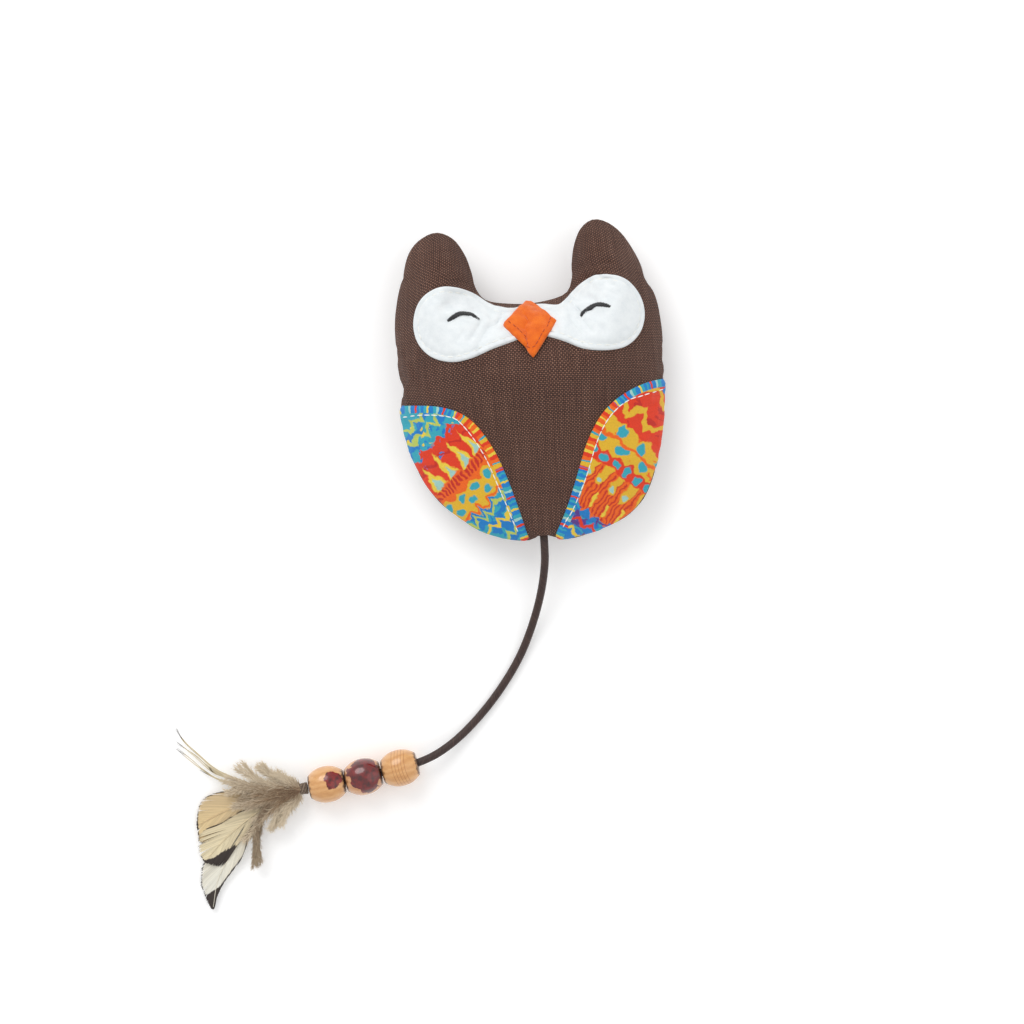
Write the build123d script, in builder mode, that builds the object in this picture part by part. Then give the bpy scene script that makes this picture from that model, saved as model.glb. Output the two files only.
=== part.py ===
"""Stuffed fabric owl with a beaded cord and a feather tuft.

The owl lies on its back, face up. X runs across its width, Y from the cord up to the ears and Z up.
The origin is the centre of the flat patch that it rests on. Sizes are in millimetres.
"""

import functools
import math
import os

from build123d import *

# Owl body
BODY_WIDTH = 100.0
BODY_LENGTH = 118.0
SEAM_HEIGHT = 15.0
FRONT_RISE = 22.0
PANEL_THICKNESS = 0.8
EAR_TAPER = 1.9
EDGE_ROUNDNESS = 1.6

# Layers sewn on the front
WING_THICKNESS = 0.6
FELT_THICKNESS = 1.2
BEAK_THICKNESS = 1.2
TOPSTITCH_THICKNESS = 0.3
SATIN_THICKNESS = 0.5
TOPSTITCH_WIDTH = 0.7
STITCH_LENGTH = 2.6
STITCH_PITCH = 3.6

# Cord, beads and the binding of the feathers
CORD_DIAMETER = 3.0
EXIT_PROUD = 0.4
HOLE_CLEARANCE = 0.1
KNOT_DIAMETER = 7.0
KNOT_DEPTH = 8.0
BEAD_DIAMETER = 13.8
BEAD_LENGTH = 13.6
BEAD_END_DIAMETER = 7.2
BORE_CLEARANCE = 0.7
BEAD_GAP = 0.6
BINDING_PROUD = 0.4
BINDING_LENGTH = 1.6
QUILL_GAP = 0.4
RUNNING_GAP = 0.3
FEATHER_THICKNESS = 0.7
FEATHER_DROOP = 5.0

# The body's outline is drawn on a pattern 100 wide and 118 long, then scaled to the body's size.
PATTERN_WIDTH = 100.0
PATTERN_LENGTH = 118.0
BODY_OUTLINE = [
    (0.0, -58.7), (11.0, -58.9), (22.0, -56.6), (31.5, -52.6), (38.2, -46.6), (42.6, -38.4),
    (45.6, -29.0), (47.8, -18.0), (49.2, -6.0), (49.8, 6.0), (49.9, 17.0), (48.7, 27.0),
    (45.8, 35.6), (42.6, 44.2), (38.3, 52.3), (33.6, 57.3), (28.8, 59.1), (23.8, 56.6),
    (20.3, 50.8), (18.3, 43.4), (16.8, 36.6), (12.6, 31.8), (0.0, 30.0), (-12.2, 31.9),
    (-17.0, 36.4), (-19.2, 43.0), (-21.8, 50.2), (-26.2, 56.3), (-32.4, 58.6), (-38.2, 56.0),
    (-42.4, 51.2), (-45.4, 43.6), (-48.2, 34.8), (-49.8, 25.2), (-50.1, 13.0), (-49.6, 1.0),
    (-49.8, -9.0), (-48.6, -18.4), (-45.8, -27.4), (-42.3, -35.6), (-37.2, -42.8), (-30.6, -48.8),
    (-22.2, -54.6), (-11.6, -58.0),
]
BODY_BREAKS = [0, 11, 22, 33]

# The top of each half is a flat oval patch: its centre and its two radii, on the same pattern.
FRONT_CROWN = (0.0, -9.0, 15.0, 16.0)
BACK_CROWN = (0.0, -8.0, 31.0, 35.0)
EAR_ROOT = 26.0
EAR_TIP = 56.0
LEVELS = [0.0, 0.12, 0.28, 0.46, 0.64, 0.8, 0.91, 0.975, 1.0]

# Plans of what is sewn on the front
MASK_OUTLINE = [
    (-7.0, 27.9), (-14.0, 30.4), (-21.2, 35.9), (-28.8, 38.2), (-35.6, 36.6), (-40.2, 31.8), (-42.2, 24.6),
    (-41.0, 17.6), (-36.4, 12.2), (-29.2, 9.9), (-21.6, 10.8), (-14.2, 13.4), (-6.4, 15.6), (0.6, 17.4),
    (6.6, 16.8), (12.6, 14.7), (20.6, 11.0), (29.6, 9.8), (36.6, 10.9), (41.8, 15.6), (43.8, 22.4),
    (42.4, 29.6), (37.8, 35.6), (31.0, 38.3), (24.6, 37.2), (18.4, 32.6), (13.0, 27.9), (7.0, 28.4),
    (0.5, 28.4),
]
MASK_BREAKS = [0, 7, 14, 21]
BEAK_CORNERS = [(-8.9, 21.5), (1.5, 9.0), (11.4, 21.8), (0.7, 28.9)]
BEAK_TOP_RADIUS = 3.0
BEAK_TIP_RADIUS = 0.6
LEFT_WING_EDGE = [
    (-54.0, -5.0), (-45.0, -5.2), (-36.5, -6.2), (-29.8, -8.3), (-24.4, -11.8), (-19.8, -17.4),
    (-15.4, -25.6), (-12.2, -34.2), (-9.4, -43.6), (-7.0, -52.8), (-4.8, -62.0),
]
RIGHT_WING_EDGE = [
    (54.0, -2.2), (45.0, -3.0), (38.2, -5.0), (31.6, -8.4), (26.6, -12.4), (22.6, -17.4),
    (18.6, -24.6), (15.6, -32.2), (12.6, -40.2), (9.4, -47.8), (5.8, -55.0), (1.8, -62.0),
]
LEFT_TOPSTITCH = [
    (-47.6, -9.0), (-41.0, -8.9), (-34.8, -9.7), (-29.6, -11.2), (-26.0, -15.0), (-22.4, -20.6),
    (-19.2, -27.0), (-16.8, -33.6), (-14.6, -40.0), (-12.2, -47.0), (-9.8, -54.0),
]
RIGHT_TOPSTITCH = [
    (47.4, -6.4), (41.0, -8.0), (36.0, -9.2), (31.6, -11.6), (27.6, -15.4), (24.2, -20.4),
    (21.2, -27.0), (18.4, -34.4), (15.4, -41.0), (11.6, -48.2), (7.6, -54.0),
]
LEFT_EYE = [(-29.8, 25.2), (-24.4, 27.2), (-18.2, 24.4)]
RIGHT_EYE = [(20.4, 22.8), (26.6, 26.4), (31.6, 25.6)]
EYE_THREAD_WIDTH = 1.6
MASK_STITCH_INSET = 2.1
BEAK_STITCH_LINE = [(-6.2, 21.4), (1.4, 12.2), (8.8, 21.6)]

# Feathers from the lowest in the stack to the highest: along the tuft, then across it.
FEATHERS = {
    "wisp_feather": [
        (0.0, 0.6), (9.0, 1.6), (18.0, -0.6), (27.0, -4.4), (36.0, -11.0), (43.6, -18.6), (44.2, -26.4),
        (36.0, -16.4), (27.0, -8.0), (17.0, -4.6), (8.0, -1.6), (0.0, -0.6),
    ],
    "tipped_feather": [
        (0.0, 0.6), (8.0, 8.0), (16.0, 16.0), (22.0, 24.0), (26.0, 30.0), (30.6, 37.0), (34.6, 43.4),
        (37.6, 36.6), (37.4, 29.0), (33.6, 21.0), (24.0, 11.0), (10.0, 3.0), (0.0, -0.6),
    ],
    "tan_feather_upper": [
        (0.0, 0.6), (10.0, 6.0), (22.0, 14.6), (32.0, 23.0), (36.6, 24.2), (38.0, 17.6), (38.1, 9.6),
        (36.4, 3.6), (31.6, 0.0), (24.0, -1.0), (12.0, -1.0), (0.0, -0.6),
    ],
    "tan_feather_lower": [
        (0.0, 0.6), (8.0, 7.6), (15.0, 14.6), (22.6, 22.0), (29.0, 26.0), (34.6, 26.2), (37.0, 21.0),
        (36.6, 14.6), (30.0, 9.0), (20.0, 5.4), (10.0, 2.6), (0.0, -0.6),
    ],
    "drooping_down": [
        (0.0, 0.6), (8.0, 7.0), (13.6, 14.0), (14.2, 22.0), (15.0, 28.0), (18.0, 28.6), (20.0, 26.0),
        (17.6, 18.0), (15.6, 11.0), (9.0, 4.0), (0.0, -0.6),
    ],
    "lower_down": [
        (0.0, 0.8), (3.6, 6.0), (9.0, 11.6), (15.0, 13.0), (21.0, 10.6), (23.6, 5.0), (19.0, 1.0),
        (9.0, 0.4), (0.0, -0.4),
    ],
    "upper_down": [
        (0.0, 0.8), (9.0, 2.6), (19.0, 1.6), (25.0, -2.6), (22.0, -8.0), (14.0, -9.6), (7.0, -7.6),
        (2.6, -4.0), (0.0, -0.6),
    ],
}

# The cord leaves the bottom seam and settles on the floor: offsets from its exit, with heights.
FLOOR_CORD = CORD_DIAMETER / 2
BEAD_HEIGHT = BEAD_DIAMETER / 2
BEAD_PITCH = BEAD_LENGTH + BEAD_GAP
BODY_FOOT = BODY_OUTLINE[0][1] * BODY_LENGTH / PATTERN_LENGTH
EXIT_Y = BODY_FOOT - EXIT_PROUD - RUNNING_GAP - CORD_DIAMETER / 2
CORD_FALL = [
    (0.0, 0.0, SEAM_HEIGHT), (-0.3, -7.4, SEAM_HEIGHT - 1.6), (-2.6, -18.5, SEAM_HEIGHT - 6.9),
    (-6.7, -30.2, FLOOR_CORD + 2.0), (-12.4, -42.2, FLOOR_CORD + 0.2), (-21.0, -54.2, FLOOR_CORD),
    (-30.4, -64.4, FLOOR_CORD), (-40.4, -72.8, FLOOR_CORD + 1.7), (-51.4, -78.4, BEAD_HEIGHT),
]
STRING_HEADINGS = [(-0.985, -0.170), (-0.989, -0.148), (-0.995, -0.100)]
STRING_LEAD = 2.6
STRING_TAIL = 0.1


def scaled(points):
    """Points of the pattern at the body's own size."""
    return [(x * BODY_WIDTH / PATTERN_WIDTH, y * BODY_LENGTH / PATTERN_LENGTH) for x, y in points]


def normals(points):
    """Outward unit normals of a closed outline that runs anticlockwise."""
    result = []
    for index in range(len(points)):
        x0, y0 = points[index - 1]
        x1, y1 = points[(index + 1) % len(points)]
        span = math.hypot(x1 - x0, y1 - y0)
        result.append(((y1 - y0) / span, (x0 - x1) / span))
    return result


def smooth_loop(points, breaks):
    """A smooth closed outline, as one spline from each break to the next."""
    count = len(points)
    for start, end in zip(breaks, breaks[1:] + [breaks[0] + count]):
        run = [points[index % count] for index in range(start, end + 1)]
        headings = []
        for index in (start, end):
            before = points[(index - 1) % count]
            after = points[(index + 1) % count]
            headings.append((after[0] - before[0], after[1] - before[1]))
        Spline(*run, tangents=headings)


def level_points(level, grow, crown):
    """One contour of the body, from the seam at level 0 to the crown at level 1."""
    outline = scaled(BODY_OUTLINE)
    centre_x, centre_y, radius_x, radius_y = crown
    (centre_x, centre_y), (radius_x, radius_y) = scaled([(centre_x, centre_y), (radius_x, radius_y)])
    body_share = 1 - math.sqrt(1 - level ** EDGE_ROUNDNESS)
    ear_share = level ** EAR_TAPER
    points = []
    for index, ((x, y), (nx, ny)) in enumerate(zip(outline, normals(outline))):
        turn = math.radians(360 * index / len(outline) - 90)
        crown_x = centre_x + radius_x * math.cos(turn)
        crown_y = centre_y + radius_y * math.sin(turn)
        reach = (y * PATTERN_LENGTH / BODY_LENGTH - EAR_ROOT) / (EAR_TIP - EAR_ROOT)
        in_ear = max(0.0, min(1.0, reach))
        share = in_ear * ear_share + (1 - in_ear) * body_share
        edge_x, edge_y = x + nx * grow, y + ny * grow
        points.append((edge_x + (crown_x - edge_x) * share, edge_y + (crown_y - edge_y) * share))
    return points


def outline_shares():
    """Where each outline point lies along the outline, as a share of its whole length."""
    points = scaled(BODY_OUTLINE)
    reached = [0.0]
    for (x0, y0), (x1, y1) in zip(points, points[1:] + points[:1]):
        reached.append(reached[-1] + math.hypot(x1 - x0, y1 - y0))
    return [distance / reached[-1] for distance in reached]


def contour_wire(level, rise, grow, crown):
    """One contour in space. All contours share their breaks and their spacing, so they loft cleanly."""
    height = SEAM_HEIGHT + rise * (1 + grow / abs(rise)) * level
    points = [Vector(x, y, height) for x, y in level_points(level, grow, crown)]
    shares = outline_shares()
    count = len(points)
    edges = []
    for start, end in zip(BODY_BREAKS, BODY_BREAKS[1:] + [count]):
        headings = []
        for index in (start, end):
            before = shares[index - 1] if index > 0 else shares[count - 1] - 1
            after = shares[index + 1] if index < count else shares[1] + 1
            step = points[(index + 1) % count] - points[(index - 1) % count]
            headings.append(step * (1 / (after - before)))
        run = [points[index % count] for index in range(start, end + 1)]
        edges.append(
            Edge.make_spline(run, tangents=headings, parameters=shares[start:end + 1], scale=False)
        )
    return Wire(edges)


@functools.lru_cache(maxsize=None)
def half_body(rise, grow, crown):
    """One stuffed half as a solid, lofted from the seam to its crown; a negative rise makes the back."""
    return Solid.make_loft([contour_wire(level, rise, grow, crown) for level in LEVELS])


def above_seam(solid):
    """The faces of a lofted half, without the flat one in the seam's plane."""
    return [face for face in solid.faces() if abs(face.center().Z - SEAM_HEIGHT) > 0.01]


def skin(rise, low, high, crown):
    """A shell that follows one half of the body, between two heights over the panel's face."""
    rim = Face(contour_wire(0, rise, high, crown), [contour_wire(0, rise, low, crown)])
    domes = above_seam(half_body(rise, high, crown)) + above_seam(half_body(rise, low, crown))
    return Solid(Shell(domes + [rim]))


def filling(grow):
    """The closed shape inside both panels."""
    front = half_body(FRONT_RISE, grow, FRONT_CROWN)
    back = half_body(-SEAM_HEIGHT, grow, BACK_CROWN)
    return Solid(Shell(above_seam(front) + above_seam(back)))


def front_layer(low, high, *profiles):
    """What lies over the given plans, between two heights over the front panel's face."""
    add(skin(FRONT_RISE, low, high, FRONT_CROWN))
    with BuildSketch(Plane.XY.offset(SEAM_HEIGHT)) as plan:
        for profile in profiles:
            add(profile)
    extrude(plan.sketch, amount=2 * FRONT_RISE, dir=(0, 0, 1), mode=Mode.INTERSECT)


def mask_profile():
    with BuildSketch() as profile:
        with BuildLine():
            smooth_loop(scaled(MASK_OUTLINE), MASK_BREAKS)
        make_face()
    return profile.sketch


def wing_profile(edge, side):
    """All of the plan on the outer side of a wing's inner edge."""
    far = side * BODY_WIDTH
    low = -BODY_LENGTH
    points = scaled(edge)
    with BuildSketch() as profile:
        with BuildLine():
            Spline(*points)
            Polyline(points[-1], (points[-1][0], low), (far, low), (far, points[0][1]), points[0])
        make_face()
    return profile.sketch


def beak_profile():
    with BuildSketch() as profile:
        with BuildLine():
            FilletPolyline(
                *scaled(BEAK_CORNERS), close=True,
                radius=[BEAK_TIP_RADIUS, BEAK_TIP_RADIUS, BEAK_TIP_RADIUS, BEAK_TOP_RADIUS],
            )
        make_face()
    return profile.sketch


def stitch_profile(line):
    """Even running stitches along a line."""
    count = int(line.length / STITCH_PITCH)
    with BuildSketch() as profile:
        for index in range(count):
            middle = line.location_at((index + 0.5) / count)
            heading = line.tangent_at((index + 0.5) / count)
            turn = math.degrees(math.atan2(heading.Y, heading.X))
            with Locations(Location(middle.position, (0, 0, turn))):
                SlotOverall(STITCH_LENGTH, TOPSTITCH_WIDTH)
    return profile.sketch


def mask_stitch_profiles():
    """Running stitches a little inside the mask's edge, left out where the beak lies on the mask."""
    with BuildSketch() as inner:
        add(mask_profile())
        offset(amount=-MASK_STITCH_INSET)
    covered = beak_profile().face()
    stitches = stitch_profile(inner.sketch.face().outer_wire()).faces()
    return [stitch for stitch in stitches if stitch.distance_to(covered) > RUNNING_GAP]


def beak_stitch_profile():
    """A thin unbroken line of stitches inside the beak's two lower edges."""
    with BuildSketch() as profile:
        with BuildLine() as line:
            Polyline(*scaled(BEAK_STITCH_LINE))
        trace(line.wire(), TOPSTITCH_WIDTH)
    return profile.sketch


def satin_profile(points):
    """A band of satin stitch with rounded ends, along an arc through three points."""
    with BuildSketch() as profile:
        with BuildLine() as line:
            ThreePointArc(*scaled(points))
        SlotArc(line.edge(), EYE_THREAD_WIDTH)
    return profile.sketch


# The cord's route, from the exit through the three beads to the binding.
cord_points = [(x, EXIT_Y + y, z) for x, y, z in CORD_FALL]
string_steps = [BEAD_PITCH + STRING_LEAD, BEAD_PITCH, BEAD_PITCH - STRING_TAIL]
for (heading_x, heading_y), step in zip(STRING_HEADINGS, string_steps):
    last_x, last_y, last_z = cord_points[-1]
    cord_points.append((last_x + heading_x * step, last_y + heading_y * step, last_z))


def route_radii(points):
    """The largest tangent arc at each corner of a route, 0.45 of its shorter run each side."""
    radii = []
    for before, corner, after in zip(points, points[1:], points[2:]):
        incoming = Vector(*corner) - Vector(*before)
        outgoing = Vector(*after) - Vector(*corner)
        turn = math.radians(incoming.get_angle(outgoing))
        radii.append(0.45 * min(incoming.length, outgoing.length) / math.tan(turn / 2))
    return radii


def bead_plane(index):
    """Each bead is threaded on one run of the string, with its axis along that run."""
    end = Vector(*cord_points[len(CORD_FALL) + index])
    heading = Vector(*STRING_HEADINGS[index]).normalized()
    return Plane(origin=end - heading * (BEAD_PITCH / 2), z_dir=heading)


def barrel_bead(plane):
    """A barrel-shaped wooden bead with a round bore."""
    bore_radius = CORD_DIAMETER / 2 + BORE_CLEARANCE
    half = BEAD_LENGTH / 2
    with BuildSketch(Plane(origin=plane.origin, x_dir=plane.x_dir, z_dir=-plane.y_dir)) as section:
        with BuildLine():
            Spline((BEAD_END_DIAMETER / 2, -half), (BEAD_DIAMETER / 2, 0), (BEAD_END_DIAMETER / 2, half))
            Polyline(
                (BEAD_END_DIAMETER / 2, half), (bore_radius, half),
                (bore_radius, -half), (BEAD_END_DIAMETER / 2, -half),
            )
        make_face()
    revolve(section.sketch, axis=Axis(plane.origin, plane.z_dir))


# Body: filling and the two panels that are sewn round it

knot_centre = (0, BODY_FOOT + KNOT_DEPTH, SEAM_HEIGHT)
exit_plane = Plane(origin=knot_centre, x_dir=(1, 0, 0), z_dir=(0, -1, 0))


def cord_hole():
    """The gap in the seam that the cord leaves through."""
    with BuildSketch(exit_plane) as section:
        Circle(CORD_DIAMETER / 2 + HOLE_CLEARANCE)
    extrude(section.sketch, amount=2 * KNOT_DEPTH, mode=Mode.SUBTRACT)


with BuildPart() as stuffing:
    add(filling(-PANEL_THICKNESS))
    with Locations(knot_centre):
        Sphere(KNOT_DIAMETER / 2 + HOLE_CLEARANCE, mode=Mode.SUBTRACT)
    cord_hole()
stuffing.part.label = "stuffing"

with BuildPart() as front_panel:
    add(skin(FRONT_RISE, -PANEL_THICKNESS, 0, FRONT_CROWN))
    cord_hole()
front_panel.part.label = "front_panel"

with BuildPart() as back_panel:
    add(skin(-SEAM_HEIGHT, -PANEL_THICKNESS, 0, BACK_CROWN))
    cord_hole()
back_panel.part.label = "back_panel"

with BuildPart() as cord_knot:
    with Locations(knot_centre):
        Sphere(KNOT_DIAMETER / 2)
    with BuildSketch(exit_plane) as stub:
        Circle(CORD_DIAMETER / 2)
    extrude(amount=KNOT_DEPTH + EXIT_PROUD)
cord_knot.part.label = "cord_knot"

pieces = [stuffing, front_panel, back_panel, cord_knot]

# What is sewn on the front

mask_top = FELT_THICKNESS
beak_top = mask_top + BEAK_THICKNESS
wing_sides = {"left": (LEFT_WING_EDGE, -1, LEFT_TOPSTITCH), "right": (RIGHT_WING_EDGE, 1, RIGHT_TOPSTITCH)}

for side_name, (edge, side, topstitch) in wing_sides.items():
    with BuildPart() as wing:
        front_layer(0, WING_THICKNESS, wing_profile(edge, side))
    wing.part.label = side_name + "_wing"

    with BuildLine() as stitch_line:
        Spline(*scaled(topstitch))
    with BuildPart() as stitches:
        front_layer(
            WING_THICKNESS, WING_THICKNESS + TOPSTITCH_THICKNESS, stitch_profile(stitch_line.edge())
        )
    stitches.part.label = side_name + "_wing_topstitch"
    pieces += [wing, stitches]

with BuildPart() as eye_mask:
    front_layer(0, mask_top, mask_profile())
eye_mask.part.label = "eye_mask"

with BuildPart() as mask_stitching:
    front_layer(mask_top, mask_top + TOPSTITCH_THICKNESS, *mask_stitch_profiles())
mask_stitching.part.label = "mask_stitching"

with BuildPart() as beak:
    front_layer(mask_top, beak_top, beak_profile())
beak.part.label = "beak"

with BuildPart() as beak_stitching:
    front_layer(beak_top, beak_top + TOPSTITCH_THICKNESS, beak_stitch_profile())
beak_stitching.part.label = "beak_stitching"
pieces += [eye_mask, mask_stitching, beak, beak_stitching]

for side_name, arc in {"left": LEFT_EYE, "right": RIGHT_EYE}.items():
    with BuildPart() as eye:
        front_layer(mask_top, mask_top + SATIN_THICKNESS, satin_profile(arc))
    eye.part.label = side_name + "_eye"
    pieces.append(eye)

# Cord, with a rounded start in front of the seam


def cord_line():
    """Straight runs joined by the largest tangent arcs that they allow."""
    with BuildLine() as line:
        FilletPolyline(*cord_points, radius=route_radii(cord_points))
    return line.wire()


route = cord_line()
with BuildPart() as cord:
    with BuildSketch(Plane(origin=route @ 0, z_dir=route % 0)) as section:
        Circle(CORD_DIAMETER / 2)
    sweep(section.sketch, path=route)
    tube_volume = cord.part.volume
    with Locations(cord_points[0]):
        Sphere(CORD_DIAMETER / 2)
cord.part.label = "cord"
pieces.append(cord)
print("cord radii", [round(radius, 1) for radius in route_radii(cord_points)])
print("cord length", round(route.length, 1))
print("cord tube volume", round(tube_volume, 1))
print("section times length", round(math.pi * CORD_DIAMETER ** 2 / 4 * route.length, 1))

# Wooden beads

for index, bead_name in enumerate(["upper_bead", "middle_bead", "lower_bead"]):
    with BuildPart() as bead:
        barrel_bead(bead_plane(index))
    bead.part.label = bead_name
    pieces.append(bead)

# Binding that holds the quills on the cord's end, with a rounded end

cord_end = Vector(*cord_points[-1])
string_heading = Vector(*STRING_HEADINGS[-1]).normalized()
binding_radius = CORD_DIAMETER / 2 + BORE_CLEARANCE + BINDING_PROUD
binding_plane = Plane(origin=cord_end, z_dir=string_heading)
swing_centre = cord_end + string_heading * BINDING_LENGTH

binding_end = BINDING_LENGTH + binding_radius
slant = binding_radius * math.sqrt(0.5)

with BuildPart() as quill_binding:
    with BuildSketch(
        Plane(origin=cord_end, x_dir=binding_plane.x_dir, z_dir=-binding_plane.y_dir)
    ) as section:
        with BuildLine():
            Polyline((0, binding_end), (0, 0), (binding_radius, 0), (binding_radius, BINDING_LENGTH))
            ThreePointArc((binding_radius, BINDING_LENGTH), (slant, BINDING_LENGTH + slant), (0, binding_end))
        make_face()
    revolve(section.sketch, axis=Axis(cord_end, string_heading))
quill_binding.part.label = "quill_binding"
pieces.append(quill_binding)

# Feathers: thin blades stacked on a plane that slopes down from the binding to the floor

root = swing_centre + string_heading * (binding_radius + QUILL_GAP)
slope = math.radians(FEATHER_DROOP)
blade_run = (-math.cos(slope), 0, -math.sin(slope))
blade_up = (-math.sin(slope), 0, math.cos(slope))
tuft_plane = Plane(origin=root, x_dir=blade_run, z_dir=blade_up)


def feather(name, layer, outline):
    """One feather's blade, in its own layer of the stack."""
    height = (layer - len(FEATHERS) / 2) * FEATHER_THICKNESS
    with BuildPart() as blade:
        with BuildSketch(tuft_plane.offset(height)) as profile:
            with BuildLine():
                Spline(*outline)
                Line(outline[-1], outline[0])
            make_face()
        extrude(profile.sketch, amount=FEATHER_THICKNESS, dir=tuft_plane.z_dir)
    blade.part.label = name
    return blade


for layer, (name, outline) in enumerate(FEATHERS.items()):
    pieces.append(feather(name, layer, outline))

os.makedirs("parts", exist_ok=True)
for piece in pieces:
    export_step(piece.part, "parts/" + piece.part.label + ".step")

print("cord swings about", cord_points[0])
print("tuft swings about", tuple(swing_centre))
for index in range(3):
    plane = bead_plane(index)
    print("bead", index, tuple(plane.origin), tuple(plane.z_dir))
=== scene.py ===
"""A stuffed fabric owl with printed wings, lying on its back, with a beaded cord and a feather tuft.

Plans are lists of points in millimetres, in the owl's own frame: X across, Y from cord to ears, Z up.
The plans of what is sewn on are drawn as an eye a little over a metre above sees them, at the seam's height.
Every mesh is made in metres.
"""
import math

import bpy
import numpy as np
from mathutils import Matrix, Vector
from mathutils.bvhtree import BVHTree
from mathutils.geometry import delaunay_2d_cdt


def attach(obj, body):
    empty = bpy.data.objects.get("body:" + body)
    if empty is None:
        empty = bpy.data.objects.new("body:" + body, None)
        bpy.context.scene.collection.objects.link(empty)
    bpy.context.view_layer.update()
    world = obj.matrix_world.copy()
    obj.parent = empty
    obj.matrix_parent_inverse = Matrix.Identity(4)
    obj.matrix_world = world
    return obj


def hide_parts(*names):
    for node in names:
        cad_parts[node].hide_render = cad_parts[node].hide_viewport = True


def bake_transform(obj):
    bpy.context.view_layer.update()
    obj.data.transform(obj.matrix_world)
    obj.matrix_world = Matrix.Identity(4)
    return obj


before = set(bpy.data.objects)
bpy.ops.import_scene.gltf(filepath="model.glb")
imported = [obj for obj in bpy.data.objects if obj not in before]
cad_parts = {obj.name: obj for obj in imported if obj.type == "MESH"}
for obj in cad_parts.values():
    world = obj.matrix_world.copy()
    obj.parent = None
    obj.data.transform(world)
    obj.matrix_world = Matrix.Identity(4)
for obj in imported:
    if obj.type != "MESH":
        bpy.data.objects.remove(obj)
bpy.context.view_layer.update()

MM = 0.001
SEAM_Z = 15.0
TOP_Z = 37.0
EYE_POINT = Vector((-11.2, -47.9, 1081.7))
CORD_RADIUS = 1.5
BEAD_RADIUS = 6.9
BEAD_HALF_LENGTH = 6.8
UP = (0.0, 0.0, 1.0)
PRINT_FADE = 0.3

BODY_OUTLINE = [
    (0.0, -58.7), (11.0, -58.9), (22.0, -56.6), (31.5, -52.6), (38.2, -46.6), (42.6, -38.4),
    (45.6, -29.0), (47.8, -18.0), (49.2, -6.0), (49.8, 6.0), (49.9, 17.0), (48.7, 27.0),
    (45.8, 35.6), (42.6, 44.2), (38.3, 52.3), (33.6, 57.3), (28.8, 59.1), (23.8, 56.6),
    (20.3, 50.8), (18.3, 43.4), (16.8, 36.6), (12.6, 31.8), (0.0, 30.0), (-12.2, 31.9),
    (-17.0, 36.4), (-19.2, 43.0), (-21.8, 50.2), (-26.2, 56.3), (-32.4, 58.6), (-38.2, 56.0),
    (-42.2, 51.2), (-45.0, 43.6), (-47.6, 34.8), (-49.2, 25.2), (-49.5, 13.0), (-49.2, 1.0),
    (-49.4, -9.0), (-48.4, -18.4), (-45.8, -27.4), (-42.3, -35.6), (-37.2, -42.8), (-30.6, -48.8),
    (-22.2, -54.6), (-11.6, -58.0),
]
MASK_OUTLINE = [
    (0.5, 28.4), (7.0, 28.4), (13.0, 27.9), (18.4, 32.6), (24.6, 37.2), (31.0, 38.3), (37.8, 35.6),
    (42.4, 29.6), (43.8, 22.4), (41.8, 15.6), (36.6, 10.9), (29.6, 9.8), (20.6, 11.0), (12.6, 14.7),
    (6.6, 16.8), (0.6, 17.4), (-6.4, 15.6), (-14.2, 13.4), (-21.6, 10.8), (-29.2, 9.9), (-36.4, 12.2),
    (-41.0, 17.6), (-42.2, 24.6), (-40.2, 31.8), (-35.6, 36.6), (-28.8, 38.2), (-21.2, 35.9),
    (-14.0, 30.4), (-7.0, 27.9),
]
BEAK_OUTLINE = [(-8.9, 21.6), (1.5, 9.2), (11.4, 21.8), (3.4, 28.3), (0.8, 28.9), (-1.4, 28.2)]
BEAK_PLAN = [
    (-9.1, 21.6), (-8.8, 20.9), (-3.8, 15.3), (1.0, 9.4), (1.5, 8.9), (2.1, 9.4),
    (6.6, 15.3), (11.3, 21.2), (11.6, 21.9), (10.9, 22.6), (6.6, 25.6), (2.6, 28.6),
    (0.9, 29.3), (-0.8, 28.5), (-4.4, 25.4), (-8.6, 22.3),
]
WING_EDGES = {
    "left": [
        (-52.0, -5.0), (-45.0, -5.2), (-36.5, -6.2), (-29.8, -8.3), (-24.4, -11.8), (-19.8, -17.4),
        (-15.4, -25.6), (-12.2, -34.2), (-9.4, -43.6), (-7.0, -52.8), (-5.2, -60.0),
    ],
    "right": [
        (52.0, -2.3), (45.0, -3.0), (38.2, -5.0), (31.6, -8.4), (26.6, -12.4), (22.6, -17.4),
        (18.6, -24.6), (15.6, -32.2), (12.6, -40.2), (9.4, -47.8), (5.8, -55.0), (3.0, -60.5),
    ],
}
EYE_ARCS = {
    "left": [(-29.9, 25.0), (-27.6, 26.4), (-24.6, 27.0), (-21.2, 26.4), (-18.3, 24.4)],
    "right": [(20.2, 22.7), (22.6, 24.6), (26.0, 26.2), (29.2, 26.4), (31.6, 25.5)],
}
CORD_ROUTE = [
    (0.0, -56.5, 15.0), (0.0, -60.9, 15.0), (-0.3, -68.3, 13.4), (-2.6, -79.4, 8.1),
    (-6.7, -91.1, 3.5), (-12.4, -103.1, 1.7), (-21.0, -115.1, 1.5), (-30.4, -125.3, 1.5),
    (-40.4, -133.7, 3.2), (-51.4, -139.3, 6.9), (-67.9, -142.2, 6.9), (-82.0, -144.3, 6.9),
    (-96.0, -145.7, 6.9),
]
TUFT_ROOT = (-97.6, -145.8, 6.9)


# Small tools for points

def srgb(red, green, blue):
    """A colour given as 0 to 255 on a screen, as the linear values that a shader takes."""
    return tuple((channel / 255) ** 2.2 for channel in (red, green, blue)) + (1.0,)


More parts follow.
